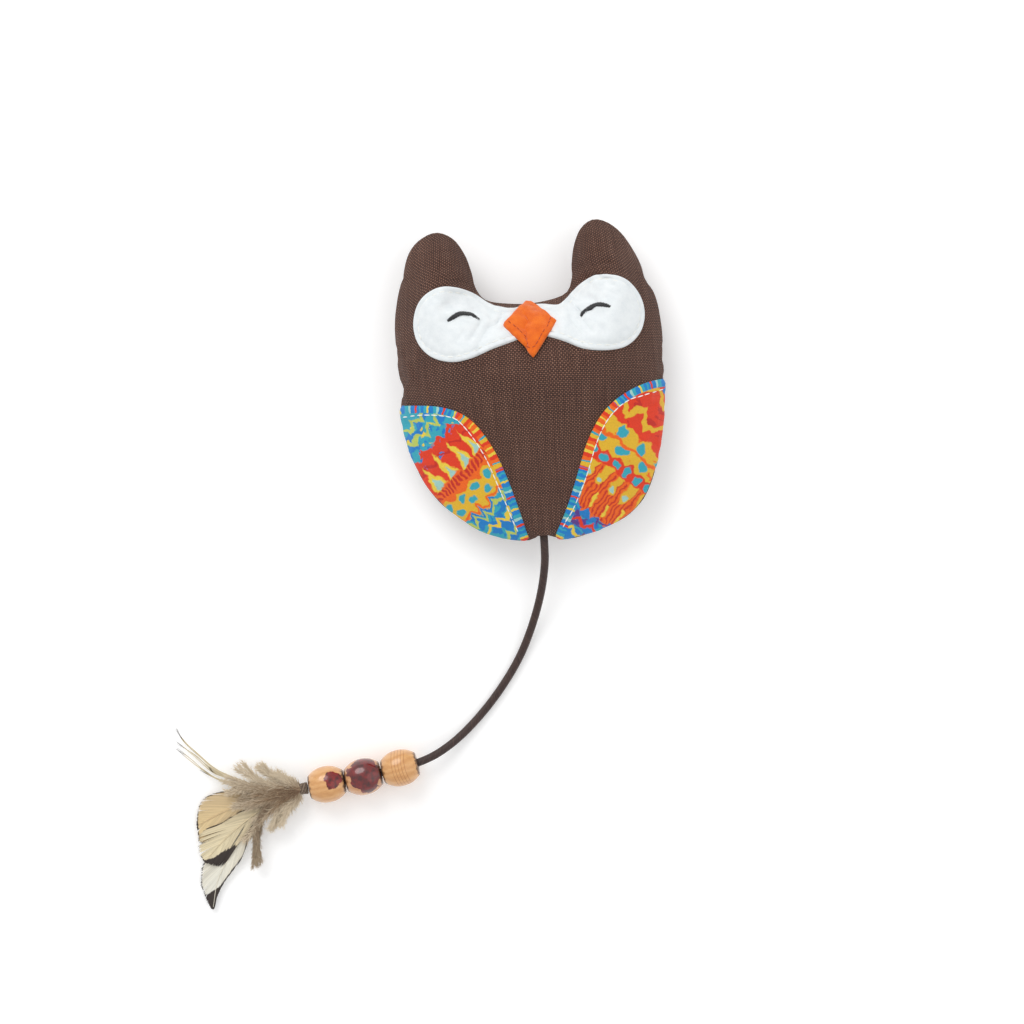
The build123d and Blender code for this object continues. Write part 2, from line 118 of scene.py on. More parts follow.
def smooth_line(points, spacing, closed=False):
    """A smooth line through the points, with even steps of about the spacing."""
    knots = np.asarray(points, float)
    count = len(knots)
    spans = count if closed else count - 1
    drawn = []
    for index in range(spans):
        if closed:
            p0, p1, p2, p3 = (knots[(index + step) % count] for step in (-1, 0, 1, 2))
        else:
            p1, p2 = knots[index], knots[index + 1]
            p0 = knots[index - 1] if index > 0 else 2 * p1 - p2
            p3 = knots[index + 2] if index + 2 < count else 2 * p2 - p1
        for t in np.linspace(0, 1, 24, endpoint=False):
            bend = (2 * p0 - 5 * p1 + 4 * p2 - p3) * t * t + (3 * p1 - p0 - 3 * p2 + p3) * t ** 3
            drawn.append(0.5 * (2 * p1 + (p2 - p0) * t + bend))
    drawn.append(knots[0] if closed else knots[-1])
    drawn = np.array(drawn)
    reached = np.concatenate([[0], np.cumsum(np.linalg.norm(np.diff(drawn, axis=0), axis=1))])
    steps = max(2, int(round(reached[-1] / spacing)))
    at = np.linspace(0, reached[-1], steps + 1)
    line = np.stack([np.interp(at, reached, drawn[:, axis]) for axis in range(drawn.shape[1])], 1)
    return line[:-1] if closed else line


def outline_area(outline):
    """Area of a closed outline, negative where it runs clockwise."""
    after = np.roll(outline, -1, axis=0)
    return (outline[:, 0] * after[:, 1] - after[:, 0] * outline[:, 1]).sum() / 2


def inward(outline):
    """At each point of a closed outline, the direction into it, square to the edge."""
    step = np.roll(outline, -1, axis=0) - np.roll(outline, 1, axis=0)
    side = np.stack([-step[:, 1], step[:, 0]], 1) / np.linalg.norm(step, axis=1)[:, None]
    return side * np.sign(outline_area(outline))


def inside(points, outline):
    """Which points lie inside a closed outline."""
    x, y = points[:, 0], points[:, 1]
    result = np.zeros(len(points), bool)
    for (x0, y0), (x1, y1) in zip(outline, np.roll(outline, -1, axis=0)):
        crosses = ((y0 > y) != (y1 > y)) & (x < (x1 - x0) * (y - y0) / (y1 - y0 + 1e-12) + x0)
        result ^= crosses
    return result


def distance_to(points, line, closed=False):
    """How far each point is from a line of points, and how far along the line its nearest point is."""
    ends = np.roll(line, -1, axis=0) if closed else line[1:]
    starts = line if closed else line[:-1]
    lengths = np.linalg.norm(ends - starts, axis=1)
    before = np.concatenate([[0], np.cumsum(lengths)[:-1]])
    best = np.full(len(points), 1e9)
    along = np.zeros(len(points))
    for start, end, length, reached in zip(starts, ends, lengths, before):
        span = end - start
        share = np.clip(((points - start) @ span) / (length * length + 1e-12), 0, 1)
        gap = np.linalg.norm(points - (start + share[:, None] * span), axis=1)
        closer = gap < best
        best[closer] = gap[closer]
        along[closer] = reached + share[closer] * length
    return best, along


# Share of the spacing, and of a ring's depth, that is kept clear between the edge and the inner points.
EDGE_MARGIN = 0.62
RING_MARGIN = 0.96


def fill_outline(outline, spacing, rings=()):
    """Triangles inside a closed outline. The outline's points come first; rings follow its edge inside."""
    into = inward(outline)
    margin = (max(rings) if rings else 0) + EDGE_MARGIN * spacing
    low, high = outline.min(0), outline.max(0)
    rows = np.arange(low[1], high[1], spacing * math.sqrt(3) / 2)
    columns = np.arange(low[0], high[0], spacing)
    grid = np.array([(x + spacing / 2 * (row % 2), y) for row, y in enumerate(rows) for x in columns])
    grid = grid[inside(grid, outline)]
    grid = grid[distance_to(grid, outline, closed=True)[0] > margin]
    ring_points = []
    taken = outline
    for ring in rings:
        moved = outline + into * ring
        kept = moved[inside(moved, outline)]
        kept = kept[distance_to(kept, outline, closed=True)[0] > RING_MARGIN * ring]
        apart = np.sqrt(((kept[:, None, :] - taken[None, :, :]) ** 2).sum(2)).min(1) > 0.12
        kept = kept[apart]
        taken = np.vstack([taken, kept])
        ring_points.append(kept)
    points = np.vstack([outline] + ring_points + [grid])
    count = len(outline)
    loop = [(index, (index + 1) % count) for index in range(count)]
    result = delaunay_2d_cdt([Vector(point) for point in points], loop, [list(range(count))], 1, 1e-6)
    triangles = [tuple(face) for face in result[2] if len(face) == 3]
    return np.array([tuple(point) for point in result[0]]), np.array(triangles)


def mesh_object(name, points, faces, uvs=None, smooth=True):
    """A mesh object at the origin from points in millimetres, with any number of UV maps."""
    mesh = bpy.data.meshes.new(name)
    mesh.from_pydata([tuple(point) for point in np.asarray(points) * MM], [], [tuple(f) for f in faces])
    corners = np.empty(len(mesh.loops), int)
    mesh.loops.foreach_get("vertex_index", corners)
    for uv_name, values in (uvs or {}).items():
        layer = mesh.uv_layers.new(name=uv_name)
        layer.data.foreach_set("uv", np.asarray(values, float)[corners].ravel())
    mesh.polygons.foreach_set("use_smooth", [smooth] * len(mesh.polygons))
    mesh.update()
    piece = bpy.data.objects.new(name, mesh)
    bpy.context.scene.collection.objects.link(piece)
    return piece


def finish_piece(piece, material, body, replaced):
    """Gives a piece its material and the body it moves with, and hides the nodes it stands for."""
    if not piece.data.materials:
        piece.data.materials.append(material)
    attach(piece, body)
    if replaced:
        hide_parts(*replaced)


# Shader tools

class Shader:
    """Adds nodes to one tree. A value may be a number, a colour or another node's output."""

    def __init__(self, tree):
        self.tree = tree

    def node(self, kind, values=(), **settings):
        made = self.tree.nodes.new(kind)
        for name, value in settings.items():
            setattr(made, name, value)
        for name, value in dict(values).items():
            self.put(made.inputs[name], value)
        return made

    def put(self, socket, value):
        if isinstance(value, bpy.types.NodeSocket):
            self.tree.links.new(value, socket)
        else:
            socket.default_value = value

    def math(self, operation, first, second=0.0, third=0.0):
        made = self.tree.nodes.new("ShaderNodeMath")
        made.operation = operation
        for socket, value in zip(made.inputs, (first, second, third)):
            self.put(socket, value)
        return made.outputs[0]

    def vector(self, operation, first, second):
        made = self.tree.nodes.new("ShaderNodeVectorMath")
        made.operation = operation
        self.put(made.inputs[0], first)
        self.put(made.inputs[1], second)
        return made.outputs[0]

    def scale(self, vector, factor):
        made = self.tree.nodes.new("ShaderNodeVectorMath")
        made.operation = "SCALE"
        self.put(made.inputs[0], vector)
        self.put(made.inputs["Scale"], factor)
        return made.outputs[0]

    def mix(self, share, first, second, blend="MIX"):
        made = self.tree.nodes.new("ShaderNodeMix")
        made.data_type = "RGBA"
        made.blend_type = blend
        self.put(made.inputs[0], share)
        self.put(made.inputs[6], first)
        self.put(made.inputs[7], second)
        return made.outputs[2]

    def noise(self, vector, scale, detail=3.0, roughness=0.55, distortion=0.0):
        made = self.node("ShaderNodeTexNoise", {
            "Vector": vector, "Scale": scale, "Detail": detail,
            "Roughness": roughness, "Distortion": distortion,
        })
        return made.outputs["Fac"]

    def step(self, value, low, high):
        made = self.node("ShaderNodeMapRange", {"Value": value, "From Min": low, "From Max": high})
        made.interpolation_type = "SMOOTHSTEP"
        return made.outputs["Result"]

    def split(self, vector):
        made = self.node("ShaderNodeSeparateXYZ", {"Vector": vector})
        return made.outputs["X"], made.outputs["Y"], made.outputs["Z"]

    def join(self, x, y, z=0.0):
        return self.node("ShaderNodeCombineXYZ", {"X": x, "Y": y, "Z": z}).outputs["Vector"]

    def ramp(self, value, stops, blend="LINEAR"):
        made = self.tree.nodes.new("ShaderNodeValToRGB")
        made.color_ramp.interpolation = blend
        while len(made.color_ramp.elements) < len(stops):
            made.color_ramp.elements.new(1.0)
        for element, (place, colour) in zip(made.color_ramp.elements, stops):
            element.position = place
            element.color = colour
        self.put(made.inputs[0], value)
        return made.outputs["Color"]

    def bump(self, height, strength, distance):
        values = {"Height": height, "Strength": strength, "Distance": distance}
        return self.node("ShaderNodeBump", values).outputs["Normal"]

    def group(self, group, values):
        made = self.tree.nodes.new("ShaderNodeGroup")
        made.node_tree = group
        for name, value in values.items():
            self.put(made.inputs[name], value)
        return made.outputs


def shader_group(name, inputs, outputs):
    """An empty shader group with named sockets. Gives the group, its tools, inputs and output node."""
    group = bpy.data.node_groups.new(name, "ShaderNodeTree")
    for socket_name, kind, default in inputs:
        socket = group.interface.new_socket(socket_name, in_out="INPUT", socket_type="NodeSocket" + kind)
        if default is not None:
            socket.default_value = default
    for socket_name, kind in outputs:
        group.interface.new_socket(socket_name, in_out="OUTPUT", socket_type="NodeSocket" + kind)
    tools = Shader(group)
    return group, tools, tools.node("NodeGroupInput").outputs, tools.node("NodeGroupOutput").inputs


def new_material(name, **fixed):
    """A material with one Principled shader; fixed values go straight onto its sockets."""
    material = bpy.data.materials.new(name)
    material.use_nodes = True
    shader = material.node_tree.nodes["Principled BSDF"]
    for socket_name, value in fixed.items():
        shader.inputs[socket_name.replace("_", " ")].default_value = value
    return material, Shader(material.node_tree), shader.inputs


# Body: two layers of one pattern, joined round the edge and blown up like a pillow

PATTERN_GROWTH = 1.06
PATTERN_SPACING = 2.0
SIM_SCALE = 10.0
SIM_FRAMES = 13
SIM_PRESSURE = 4.0


def pillow_mesh(flat, triangles, rim_count):
    """Front and back layer of the pattern with one shared rim, slightly domed, for the cloth solver."""
    rim = flat[:rim_count]
    depth = distance_to(flat, rim, closed=True)[0]
    depth[:rim_count] = 0
    height = 6 * (1 - np.exp(-depth / 9))
    count = len(flat)
    order = np.arange(count)
    back = np.where(order < rim_count, order, order + count - rim_count)
    points = np.vstack([np.c_[flat, height], np.c_[flat, -height][rim_count:]]) * MM * SIM_SCALE
    faces = [tuple(face) for face in triangles] + [tuple(back[face[::-1]]) for face in triangles]
    mesh = bpy.data.meshes.new("pillow")
    mesh.from_pydata([tuple(point) for point in points], [], faces)
    mesh.update()
    return mesh, back


def inflate(mesh):
    """The pillow's points after the pressure has filled it, in millimetres."""
    pillow = bpy.data.objects.new("pillow", mesh)
    bpy.context.scene.collection.objects.link(pillow)
    cloth = pillow.modifiers.new("Cloth", "CLOTH")
    settings = cloth.settings
    settings.quality = 6
    settings.mass = 0.3
    settings.tension_stiffness = 40
    settings.compression_stiffness = 40
    settings.shear_stiffness = 10
    settings.bending_stiffness = 0.5
    settings.tension_damping = 10
    settings.compression_damping = 10
    settings.air_damping = 3
    settings.use_pressure = True
    settings.uniform_pressure_force = SIM_PRESSURE
    settings.effector_weights.gravity = 0
    cloth.collision_settings.use_collision = False
    cloth.point_cache.frame_start = 1
    cloth.point_cache.frame_end = SIM_FRAMES
    for number in range(1, SIM_FRAMES + 1):
        bpy.context.scene.frame_set(number)
    result = pillow.evaluated_get(bpy.context.evaluated_depsgraph_get()).data
    points = np.empty(len(result.vertices) * 3)
    result.vertices.foreach_get("co", points)
    bpy.data.objects.remove(pillow)
    bpy.context.scene.frame_set(1)
    return points.reshape(-1, 3) / SIM_SCALE / MM


def refine(points, flat, triangles, rim_count):
    """Splits every triangle in four, with the new points lifted a little to keep the surface round."""
    normals = point_normals(points, triangles)
    middles = {}
    new_points, new_flat = list(points), list(flat)
    faces = []
    edges = np.sort(np.vstack([triangles[:, [0, 1]], triangles[:, [1, 2]], triangles[:, [2, 0]]]), axis=1)
    keys, counts = np.unique(edges, axis=0, return_counts=True)
    rim_edges = {tuple(key) for key, count in zip(keys, counts) if count == 1}
    for a, b in keys:
        middle = (points[a] + points[b]) / 2
        if (a, b) not in rim_edges:
            bend_a = np.dot(middle - points[a], normals[a])
            bend_b = np.dot(middle - points[b], normals[b])
            middle = middle - (normals[a] * bend_a + normals[b] * bend_b) / 4
        middles[(a, b)] = len(new_points)
        new_points.append(middle)
        new_flat.append((flat[a] + flat[b]) / 2)
    for a, b, c in triangles:
        ab = middles[tuple(sorted((a, b)))]
        bc = middles[tuple(sorted((b, c)))]
        ca = middles[tuple(sorted((c, a)))]
        faces += [(a, ab, ca), (ab, b, bc), (ca, bc, c), (ab, bc, ca)]
    rim = []
    for index in range(rim_count):
        after = (index + 1) % rim_count
        rim += [index, middles[tuple(sorted((index, after)))]]
    return np.array(new_points), np.array(new_flat), np.array(faces), rim


def point_normals(points, triangles):
    """A smooth normal at every point."""
    corners = points[triangles]
    face = np.cross(corners[:, 1] - corners[:, 0], corners[:, 2] - corners[:, 0])
    normals = np.zeros_like(points)
    for corner in range(3):
        np.add.at(normals, triangles[:, corner], face)
    return normals / (np.linalg.norm(normals, axis=1)[:, None] + 1e-12)


def fitted(points, flat, rim_count):
    """The filled pillow, eased sideways to the owl's outline, with its puckers kept."""
    target = smooth_line(BODY_OUTLINE, 1.0, closed=True)
    share = np.linspace(0, len(target), rim_count, endpoint=False)
    wrapped = np.vstack([target, target[:1]])
    goal = np.stack([np.interp(share, np.arange(len(wrapped)), wrapped[:, k]) for k in (0, 1)], 1)
    move = goal - points[:rim_count, :2]
    window = np.exp(-0.5 * (np.arange(-12, 13) / 4.0) ** 2)
    window /= window.sum()
    padded_move = np.vstack([move[-12:], move, move[:12]])
    soft = np.stack([np.convolve(padded_move[:, k], window, mode="valid") for k in (0, 1)], 1)
    result = points.copy()
    for start in range(0, len(points), 1500):
        chunk = flat[start:start + 1500]
        gap = ((chunk[:, None, :] - flat[None, :rim_count, :]) ** 2).sum(2) + 0.5
        weight = 1 / gap ** 1.5
        result[start:start + 1500, :2] += (weight @ soft) / weight.sum(1)[:, None]
    return result


class Panel:
    """One layer of the body: points in millimetres, their place on the flat pattern, and triangles."""

    def __init__(self, points, flat, triangles, rim):
        self.points = points
        self.flat = flat
        self.triangles = triangles
        self.rim = rim
        self.normals = point_normals(points, triangles)
        faces = [tuple(int(i) for i in face) for face in triangles]
        self.tree = BVHTree.FromPolygons([Vector(point) for point in points], faces)
        flat_points = [Vector((point[0], point[1], 0.0)) for point in flat]
        self.flat_tree = BVHTree.FromPolygons(flat_points, faces)

    def shares(self, place, face, source):
        """How much each corner of a triangle counts at a place on it."""
        a, b, c = (source[i] for i in self.triangles[face])
        if len(a) == 2:
            a, b, c, place = (np.append(point[:2], 0.0) for point in (a, b, c, place))
        first, second, offset = b - a, c - a, place - a
        d00, d01, d11 = first @ first, first @ second, second @ second
        d20, d21 = offset @ first, offset @ second
        scale = d00 * d11 - d01 * d01
        v = (d11 * d20 - d01 * d21) / scale
        w = (d00 * d21 - d01 * d20) / scale
        return np.array([1 - v - w, v, w])

    def flat_under(self, x, y):
        """The place on the flat pattern that lies under a point of the plan, or None beside the body."""
        target = Vector((x, y, SEAM_Z))
        hit, _, face, _ = self.tree.ray_cast(EYE_POINT, (target - EYE_POINT).normalized())
        if hit is None:
            return None
        return self.shares(np.array(hit), face, self.points) @ self.flat[self.triangles[face]]

    def laid(self, flat_points):
        """Points and normals on the body for places on the flat pattern."""
        points, normals = [], []
        for place in flat_points:
            hit, _, face, _ = self.flat_tree.find_nearest(Vector((place[0], place[1], 0.0)))
            share = self.shares(np.array(hit), face, self.flat)
            corners = self.triangles[face]
            points.append(share @ self.points[corners])
            normal = share @ self.normals[corners]
            normals.append(normal / np.linalg.norm(normal))
        return np.array(points), np.array(normals)


def make_panels():
    """The front and the back layer of the filled body."""
    outline = smooth_line(np.array(BODY_OUTLINE) * PATTERN_GROWTH, PATTERN_SPACING, closed=True)
    rim_count = len(outline)
    flat, triangles = fill_outline(outline, PATTERN_SPACING)
    mesh, back_order = pillow_mesh(flat, triangles, rim_count)
    filled = inflate(mesh)
    front = fitted(filled[:len(flat)], flat, rim_count)
    back = fitted(filled[back_order], flat, rim_count)
    peak = front[:, 2].max()
    front[:, 2] = SEAM_Z + front[:, 2] * (TOP_Z - SEAM_Z) / peak
    depth = -back[:, 2] * (TOP_Z - SEAM_Z) / peak
    low = np.tanh(1.5 * depth / SEAM_Z) / np.tanh(1.5 * (TOP_Z - SEAM_Z) / SEAM_Z)
    back[:, 2] = SEAM_Z * (1 - low)
    seam = (front[:rim_count, 2] + back[:rim_count, 2]) / 2
    front[:rim_count, 2] = seam
    back[:rim_count] = front[:rim_count]
    panels = []
    for layer, faces in ((front, triangles), (back, triangles)):
        points, places, fine, rim = refine(layer, flat, faces, rim_count)
        panels.append(Panel(points, places, fine, rim))
    return panels


def rounded_layer(panel, outline, spacing, lift, thickness, edge_round, rings, lump=0.0, seed=1, groove=None):
    """A piece of cloth laid on a panel: flat outline, then points on the body with a rounded edge."""
    flat, triangles = fill_outline(outline, spacing, rings)
    places, normals = panel.laid(flat)
    edge = distance_to(flat, outline, closed=True)[0]
    edge[:len(outline)] = 0
    rise = np.sqrt(np.clip(1 - (1 - np.clip(edge / edge_round, 0, 1)) ** 2, 0, 1))
    waves = np.sin(flat[:, 0] * 0.55 + seed) * np.sin(flat[:, 1] * 0.47 + 2 * seed)
    height = lift + thickness * rise + lump * waves * np.clip(edge / 6, 0, 1)
    if groove is not None:
        inset, depth, width = groove
        height = height - depth * np.exp(-((edge - inset) / width) ** 2)
    return places + normals * height[:, None], flat, triangles


def plan_to_flat(panel, line):
    """A line on the plan, as places on the flat pattern."""
    found = [panel.flat_under(x, y) for x, y in line]
    return np.array([place for place in found if place is not None])


def wing_outline(panel, edge):
    """The flat shape of a wing, from its inner edge round the outer side of the body."""
    inner = plan_to_flat(panel, smooth_line(edge, 1.0))
    rim = panel.flat[panel.rim]
    first = int(np.argmin(np.linalg.norm(rim - inner[0], axis=1)))
    last = int(np.argmin(np.linalg.norm(rim - inner[-1], axis=1)))
    count = len(rim)
    forward = [(last + step) % count for step in range((first - last) % count + 1)]
    backward = [(last - step) % count for step in range((last - first) % count + 1)]
    around = min((forward, backward), key=len)
    inset = rim[around]
    middle = inset.mean(0)
    pull = middle - inset
    inset = inset + pull / np.linalg.norm(pull, axis=1)[:, None] * 0.9
    return smooth_line(np.vstack([inner, inset[1:-1]]), 1.1, closed=True)


# Shared shader groups

def woven_group():
    """Plain weave: threads pass over and under each other. Vector is in millimetres."""
    group, s, given, out = shader_group(
        "woven_cloth",
        [("Vector", "Vector", None), ("Pitch", "Float", 0.9), ("Slubs", "Float", 0.35)],
        [("Height", "Float"), ("Warp", "Float"), ("Tone", "Float")],
    )
    wander = s.noise(given["Vector"], 0.35, 2.0)
    shift = s.math("MULTIPLY", s.math("SUBTRACT", wander, 0.5), 0.5)
    x, y, _ = s.split(given["Vector"])
    u = s.math("MULTIPLY", s.math("DIVIDE", s.math("ADD", x, shift), given["Pitch"]), math.pi)
    v = s.math("MULTIPLY", s.math("DIVIDE", s.math("ADD", y, shift), given["Pitch"]), math.pi)
    sine_u, sine_v = s.math("SINE", u), s.math("SINE", v)
    over = s.step(s.math("MULTIPLY", sine_u, sine_v), -0.1, 0.1)
    round_u = s.math("POWER", s.math("ABSOLUTE", sine_u), 0.45)
    round_v = s.math("POWER", s.math("ABSOLUTE", sine_v), 0.45)
    long_u = s.math("POWER", s.math("ABSOLUTE", sine_u), 0.9)
    long_v = s.math("POWER", s.math("ABSOLUTE", sine_v), 0.9)
    warp = s.math("MULTIPLY", round_u, long_v)
    weft = s.math("MULTIPLY", round_v, long_u)
    under = s.math("SUBTRACT", 1.0, over)
    height = s.math("ADD", s.math("MULTIPLY", warp, over), s.math("MULTIPLY", weft, under))
    warp_slub = s.noise(s.join(s.math("MULTIPLY", x, 3.0), s.math("MULTIPLY", y, 0.12)), 0.4, 2.0)
    weft_slub = s.noise(s.join(s.math("MULTIPLY", x, 0.12), s.math("MULTIPLY", y, 3.0), 7.0), 0.4, 2.0)
    slub = s.math("ADD", s.math("MULTIPLY", warp_slub, over), s.math("MULTIPLY", weft_slub, under))
    swell = s.math("MULTIPLY", s.math("SUBTRACT", slub, 0.5), given["Slubs"])
    s.put(out["Height"], s.math("ADD", height, swell))
    s.put(out["Warp"], over)
    s.put(out["Tone"], slub)
    return group


def felt_group():
    """Pressed fibres: fine fuzz over soft lumps. Vector is in millimetres."""
    group, s, given, out = shader_group(
        "pressed_felt",
        [("Vector", "Vector", None), ("Fibre Size", "Float", 3.0)],
        [("Height", "Float"), ("Tone", "Float")],
    )
    lengthways = s.vector("MULTIPLY", given["Vector"], (1.0, 2.6, 1.0))
    crossways = s.vector("MULTIPLY", given["Vector"], (2.6, 1.0, 1.0))
    streak = s.noise(lengthways, given["Fibre Size"], 5.0, 0.7, 1.6)
    cross = s.noise(crossways, given["Fibre Size"], 5.0, 0.7, 1.6)
    fuzz = s.math("MAXIMUM", streak, cross)
    lumps = s.noise(given["Vector"], 0.35, 3.0)
    s.put(out["Height"], s.math("ADD", fuzz, s.math("MULTIPLY", lumps, 0.8)))
    s.put(out["Tone"], s.math("ADD", s.math("MULTIPLY", fuzz, 0.6), s.math("MULTIPLY", lumps, 0.4)))
    return group


def thread_group():
    """Twisted yarn: slanting fibres. Vector is in millimetres."""
    group, s, given, out = shader_group(
        "twisted_yarn",
        [("Vector", "Vector", None), ("Twist", "Float", 5.0)],
        [("Height", "Float"), ("Tone", "Float")],
    )
    x, y, z = s.split(given["Vector"])
    slant = s.math("ADD", s.math("ADD", x, y), z)
    wave = s.math("SINE", s.math("MULTIPLY", slant, given["Twist"]))
    fibres = s.noise(given["Vector"], 6.0, 3.0)
    s.put(out["Height"], s.math("ADD", s.math("MULTIPLY", wave, 0.5), fibres))
    s.put(out["Tone"], fibres)
    return group


def grain_group():
    """Turned wood: growth rings with fine pores. Vector is in millimetres, with Z along the bead."""
    group, s, given, out = shader_group(
        "turned_wood",
        [("Vector", "Vector", None), ("Ring Gap", "Float", 1.4)],
        [("Ring", "Float"), ("Pores", "Float")],
    )
    x, y, z = s.split(given["Vector"])
    warped = s.math("ADD", x, s.math("MULTIPLY", s.noise(given["Vector"], 0.16, 2.0), 5.0))
    ring = s.math("SINE", s.math("MULTIPLY", s.math("DIVIDE", warped, given["Ring Gap"]), 2 * math.pi))
    drawn_out = s.join(s.math("MULTIPLY", x, 3.0), s.math("MULTIPLY", y, 3.0), s.math("MULTIPLY", z, 0.4))
    fine = s.noise(drawn_out, 1.2, 4.0)
    s.put(out["Ring"], s.math("ADD", s.math("MULTIPLY", ring, 0.2), fine))
    s.put(out["Pores"], fine)
    return group


GROUPS = {
    "weave": woven_group(),
    "felt": felt_group(),
    "yarn": thread_group(),
    "grain": grain_group(),
}


def uv(tools, name):
    """One of the mesh's own UV maps, as a vector."""
    return tools.node("ShaderNodeUVMap", uv_map=name).outputs["UV"]


def in_mm(tools):
    """Object coordinates in millimetres."""
    place = tools.node("ShaderNodeTexCoord").outputs["Object"]
    return tools.scale(place, 1000.0)


# Materials

def canvas_material():
    """Dark brown canvas with a fine even weave, and painted shade in the low places between threads."""
    material, s, put = new_material("brown_canvas", Roughness=0.9, Sheen_Weight=0.04)
    weave = s.group(GROUPS["weave"], {"Vector": uv(s, "flat"), "Pitch": 0.62, "Slubs": 0.25})
    light_brown = [(0.25, srgb(122, 84, 69)), (0.5, srgb(142, 102, 85)), (0.75, srgb(162, 121, 103))]
    dark_brown = [(0.25, srgb(84, 54, 43)), (0.5, srgb(97, 65, 53)), (0.75, srgb(110, 77, 63))]
    warp = s.ramp(weave["Tone"], light_brown)
    weft = s.ramp(weave["Tone"], dark_brown)
    thread = s.mix(weave["Warp"], weft, warp)
    # Painted shade: where the weave is low, between the threads, the colour turns near-black brown.
    depth = s.step(weave["Height"], 0.15, 0.85)
    cloth = s.mix(depth, srgb(34, 20, 15), thread)
    broad = s.step(s.noise(uv(s, "flat"), 0.05, 4.0), 0.3, 0.7)
    s.put(put["Base Color"], s.mix(s.math("MULTIPLY", broad, 0.18), cloth, srgb(150, 130, 122), "MULTIPLY"))
    s.put(put["Normal"], s.bump(weave["Height"], 0.9, 0.0003))
    return material


def felt_material(name, deep, plain, light, rough=0.95):
    """Felt in one colour, with tufts of lighter and darker fibre."""
    material, s, put = new_material(name, Roughness=rough, Sheen_Weight=0.2, Sheen_Roughness=0.5)
    felt = s.group(GROUPS["felt"], {"Vector": in_mm(s), "Fibre Size": 2.2})
    s.put(put["Base Color"], s.ramp(felt["Tone"], [(0.36, deep), (0.5, plain), (0.66, light)]))
    s.put(put["Normal"], s.bump(felt["Height"], 0.55, 0.0003))
    return material


def yarn_material(name, dark, light, gloss=0.75, twist=5.0):
    """Sewing thread."""
    material, s, put = new_material(name, Roughness=gloss, Sheen_Weight=0.2)
    yarn = s.group(GROUPS["yarn"], {"Vector": in_mm(s), "Twist": twist})
    s.put(put["Base Color"], s.ramp(yarn["Tone"], [(0.35, dark), (0.65, light)]))
    s.put(put["Normal"], s.bump(yarn["Height"], 0.4, 0.0001))
    return material


def cord_material():
    """Dark waxed cord: soft streaks along it, with a slight twist."""
    material, s, put = new_material("brown_cord", Roughness=0.5)
    around, along, _ = s.split(uv(s, "tube"))
    lead = s.math("ADD", s.math("MULTIPLY", around, 2.0), s.math("MULTIPLY", along, 0.25))
    ply = s.math("SINE", s.math("MULTIPLY", lead, 2 * math.pi))
    streak = s.noise(s.join(s.math("MULTIPLY", lead, 6.0), s.math("MULTIPLY", along, 0.08)), 1.6, 5.0, 0.65)
    fibre = s.noise(s.join(s.math("MULTIPLY", lead, 26.0), s.math("MULTIPLY", along, 0.5)), 1.0, 3.0)
    tone = s.math("ADD", s.math("MULTIPLY", streak, 0.7), s.math("MULTIPLY", fibre, 0.3))
    colour = s.ramp(tone, [(0.32, srgb(30, 20, 18)), (0.5, srgb(56, 38, 34)), (0.7, srgb(88, 64, 56))])
    s.put(put["Base Color"], colour)
    height = s.math("ADD", s.math("MULTIPLY", ply, 0.3), tone)
    s.put(put["Normal"], s.bump(height, 0.6, 0.0003))
    s.put(put["Roughness"], s.math("MULTIPLY_ADD", streak, 0.4, 0.3))
    return material


def wood_material(name, colours, coat, blot=None, rings=None, end_darkening=0.4):
    """Varnished bead: faint grain, dark brown where the bead narrows at both ends and in the bore, and a red
    blot or a few turned rings on some.
    """
    material, s, put = new_material(name, Roughness=0.3, Coat_Weight=coat, Coat_Roughness=0.06)
    place = s.node("ShaderNodeAttribute", attribute_name="bead_place").outputs["Vector"]
    grain = s.group(GROUPS["grain"], {"Vector": place, "Ring Gap": 2.6})
    wood = s.ramp(grain["Ring"], [(0.0, colours[0]), (0.5, colours[1]), (1.0, colours[2])])
    x, y, z = s.split(place)
    if rings is not None:
        near_rings = s.math("MULTIPLY", s.step(z, rings[0], rings[0] + 0.4),
                            s.math("SUBTRACT", 1.0, s.step(z, rings[1], rings[1] + 0.4)))
        bent = s.math("ADD", z, s.math("MULTIPLY", s.math("MULTIPLY", x, x), 0.025))
        line = s.step(s.math("SINE", s.math("MULTIPLY", bent, 5.2)), 0.72, 0.98)
        wood = s.mix(s.math("MULTIPLY", s.math("MULTIPLY", line, near_rings), 0.7), wood, srgb(164, 98, 58))
    if blot is not None:
        centre, reach, tint = blot
        gap = s.tree.nodes.new("ShaderNodeVectorMath")
        gap.operation = "DISTANCE"
        s.put(gap.inputs[0], place)
        gap.inputs[1].default_value = centre
        ragged = s.math("ADD", gap.outputs["Value"], s.math("MULTIPLY", s.noise(place, 0.32, 3.0), 4.4))
        share = s.math("SUBTRACT", 1.0, s.step(ragged, reach, reach + 0.25))
        streaks = s.mix(s.step(s.noise(place, 0.5, 3.0), 0.3, 0.7), tint, srgb(70, 8, 10))
        wood = s.mix(share, wood, streaks)
    # Where the bead narrows, at both ends, on the end faces and in the bore, the wood turns dark brown;
    # end_darkening sets how much.
    radius = s.math("POWER", s.math("ADD", s.math("MULTIPLY", x, x), s.math("MULTIPLY", y, y)), 0.5)
    rim = s.math("ADD", radius, s.math("MULTIPLY", s.noise(place, 0.8, 3.0), 1.4))
    outside = s.step(rim, 5.0, 5.7)
    s.put(put["Base Color"], s.mix(s.math("MAXIMUM", outside, 1 - end_darkening), srgb(58, 28, 18), wood))
    s.put(put["Normal"], s.bump(grain["Pores"], 0.08, 0.0002))
    return material


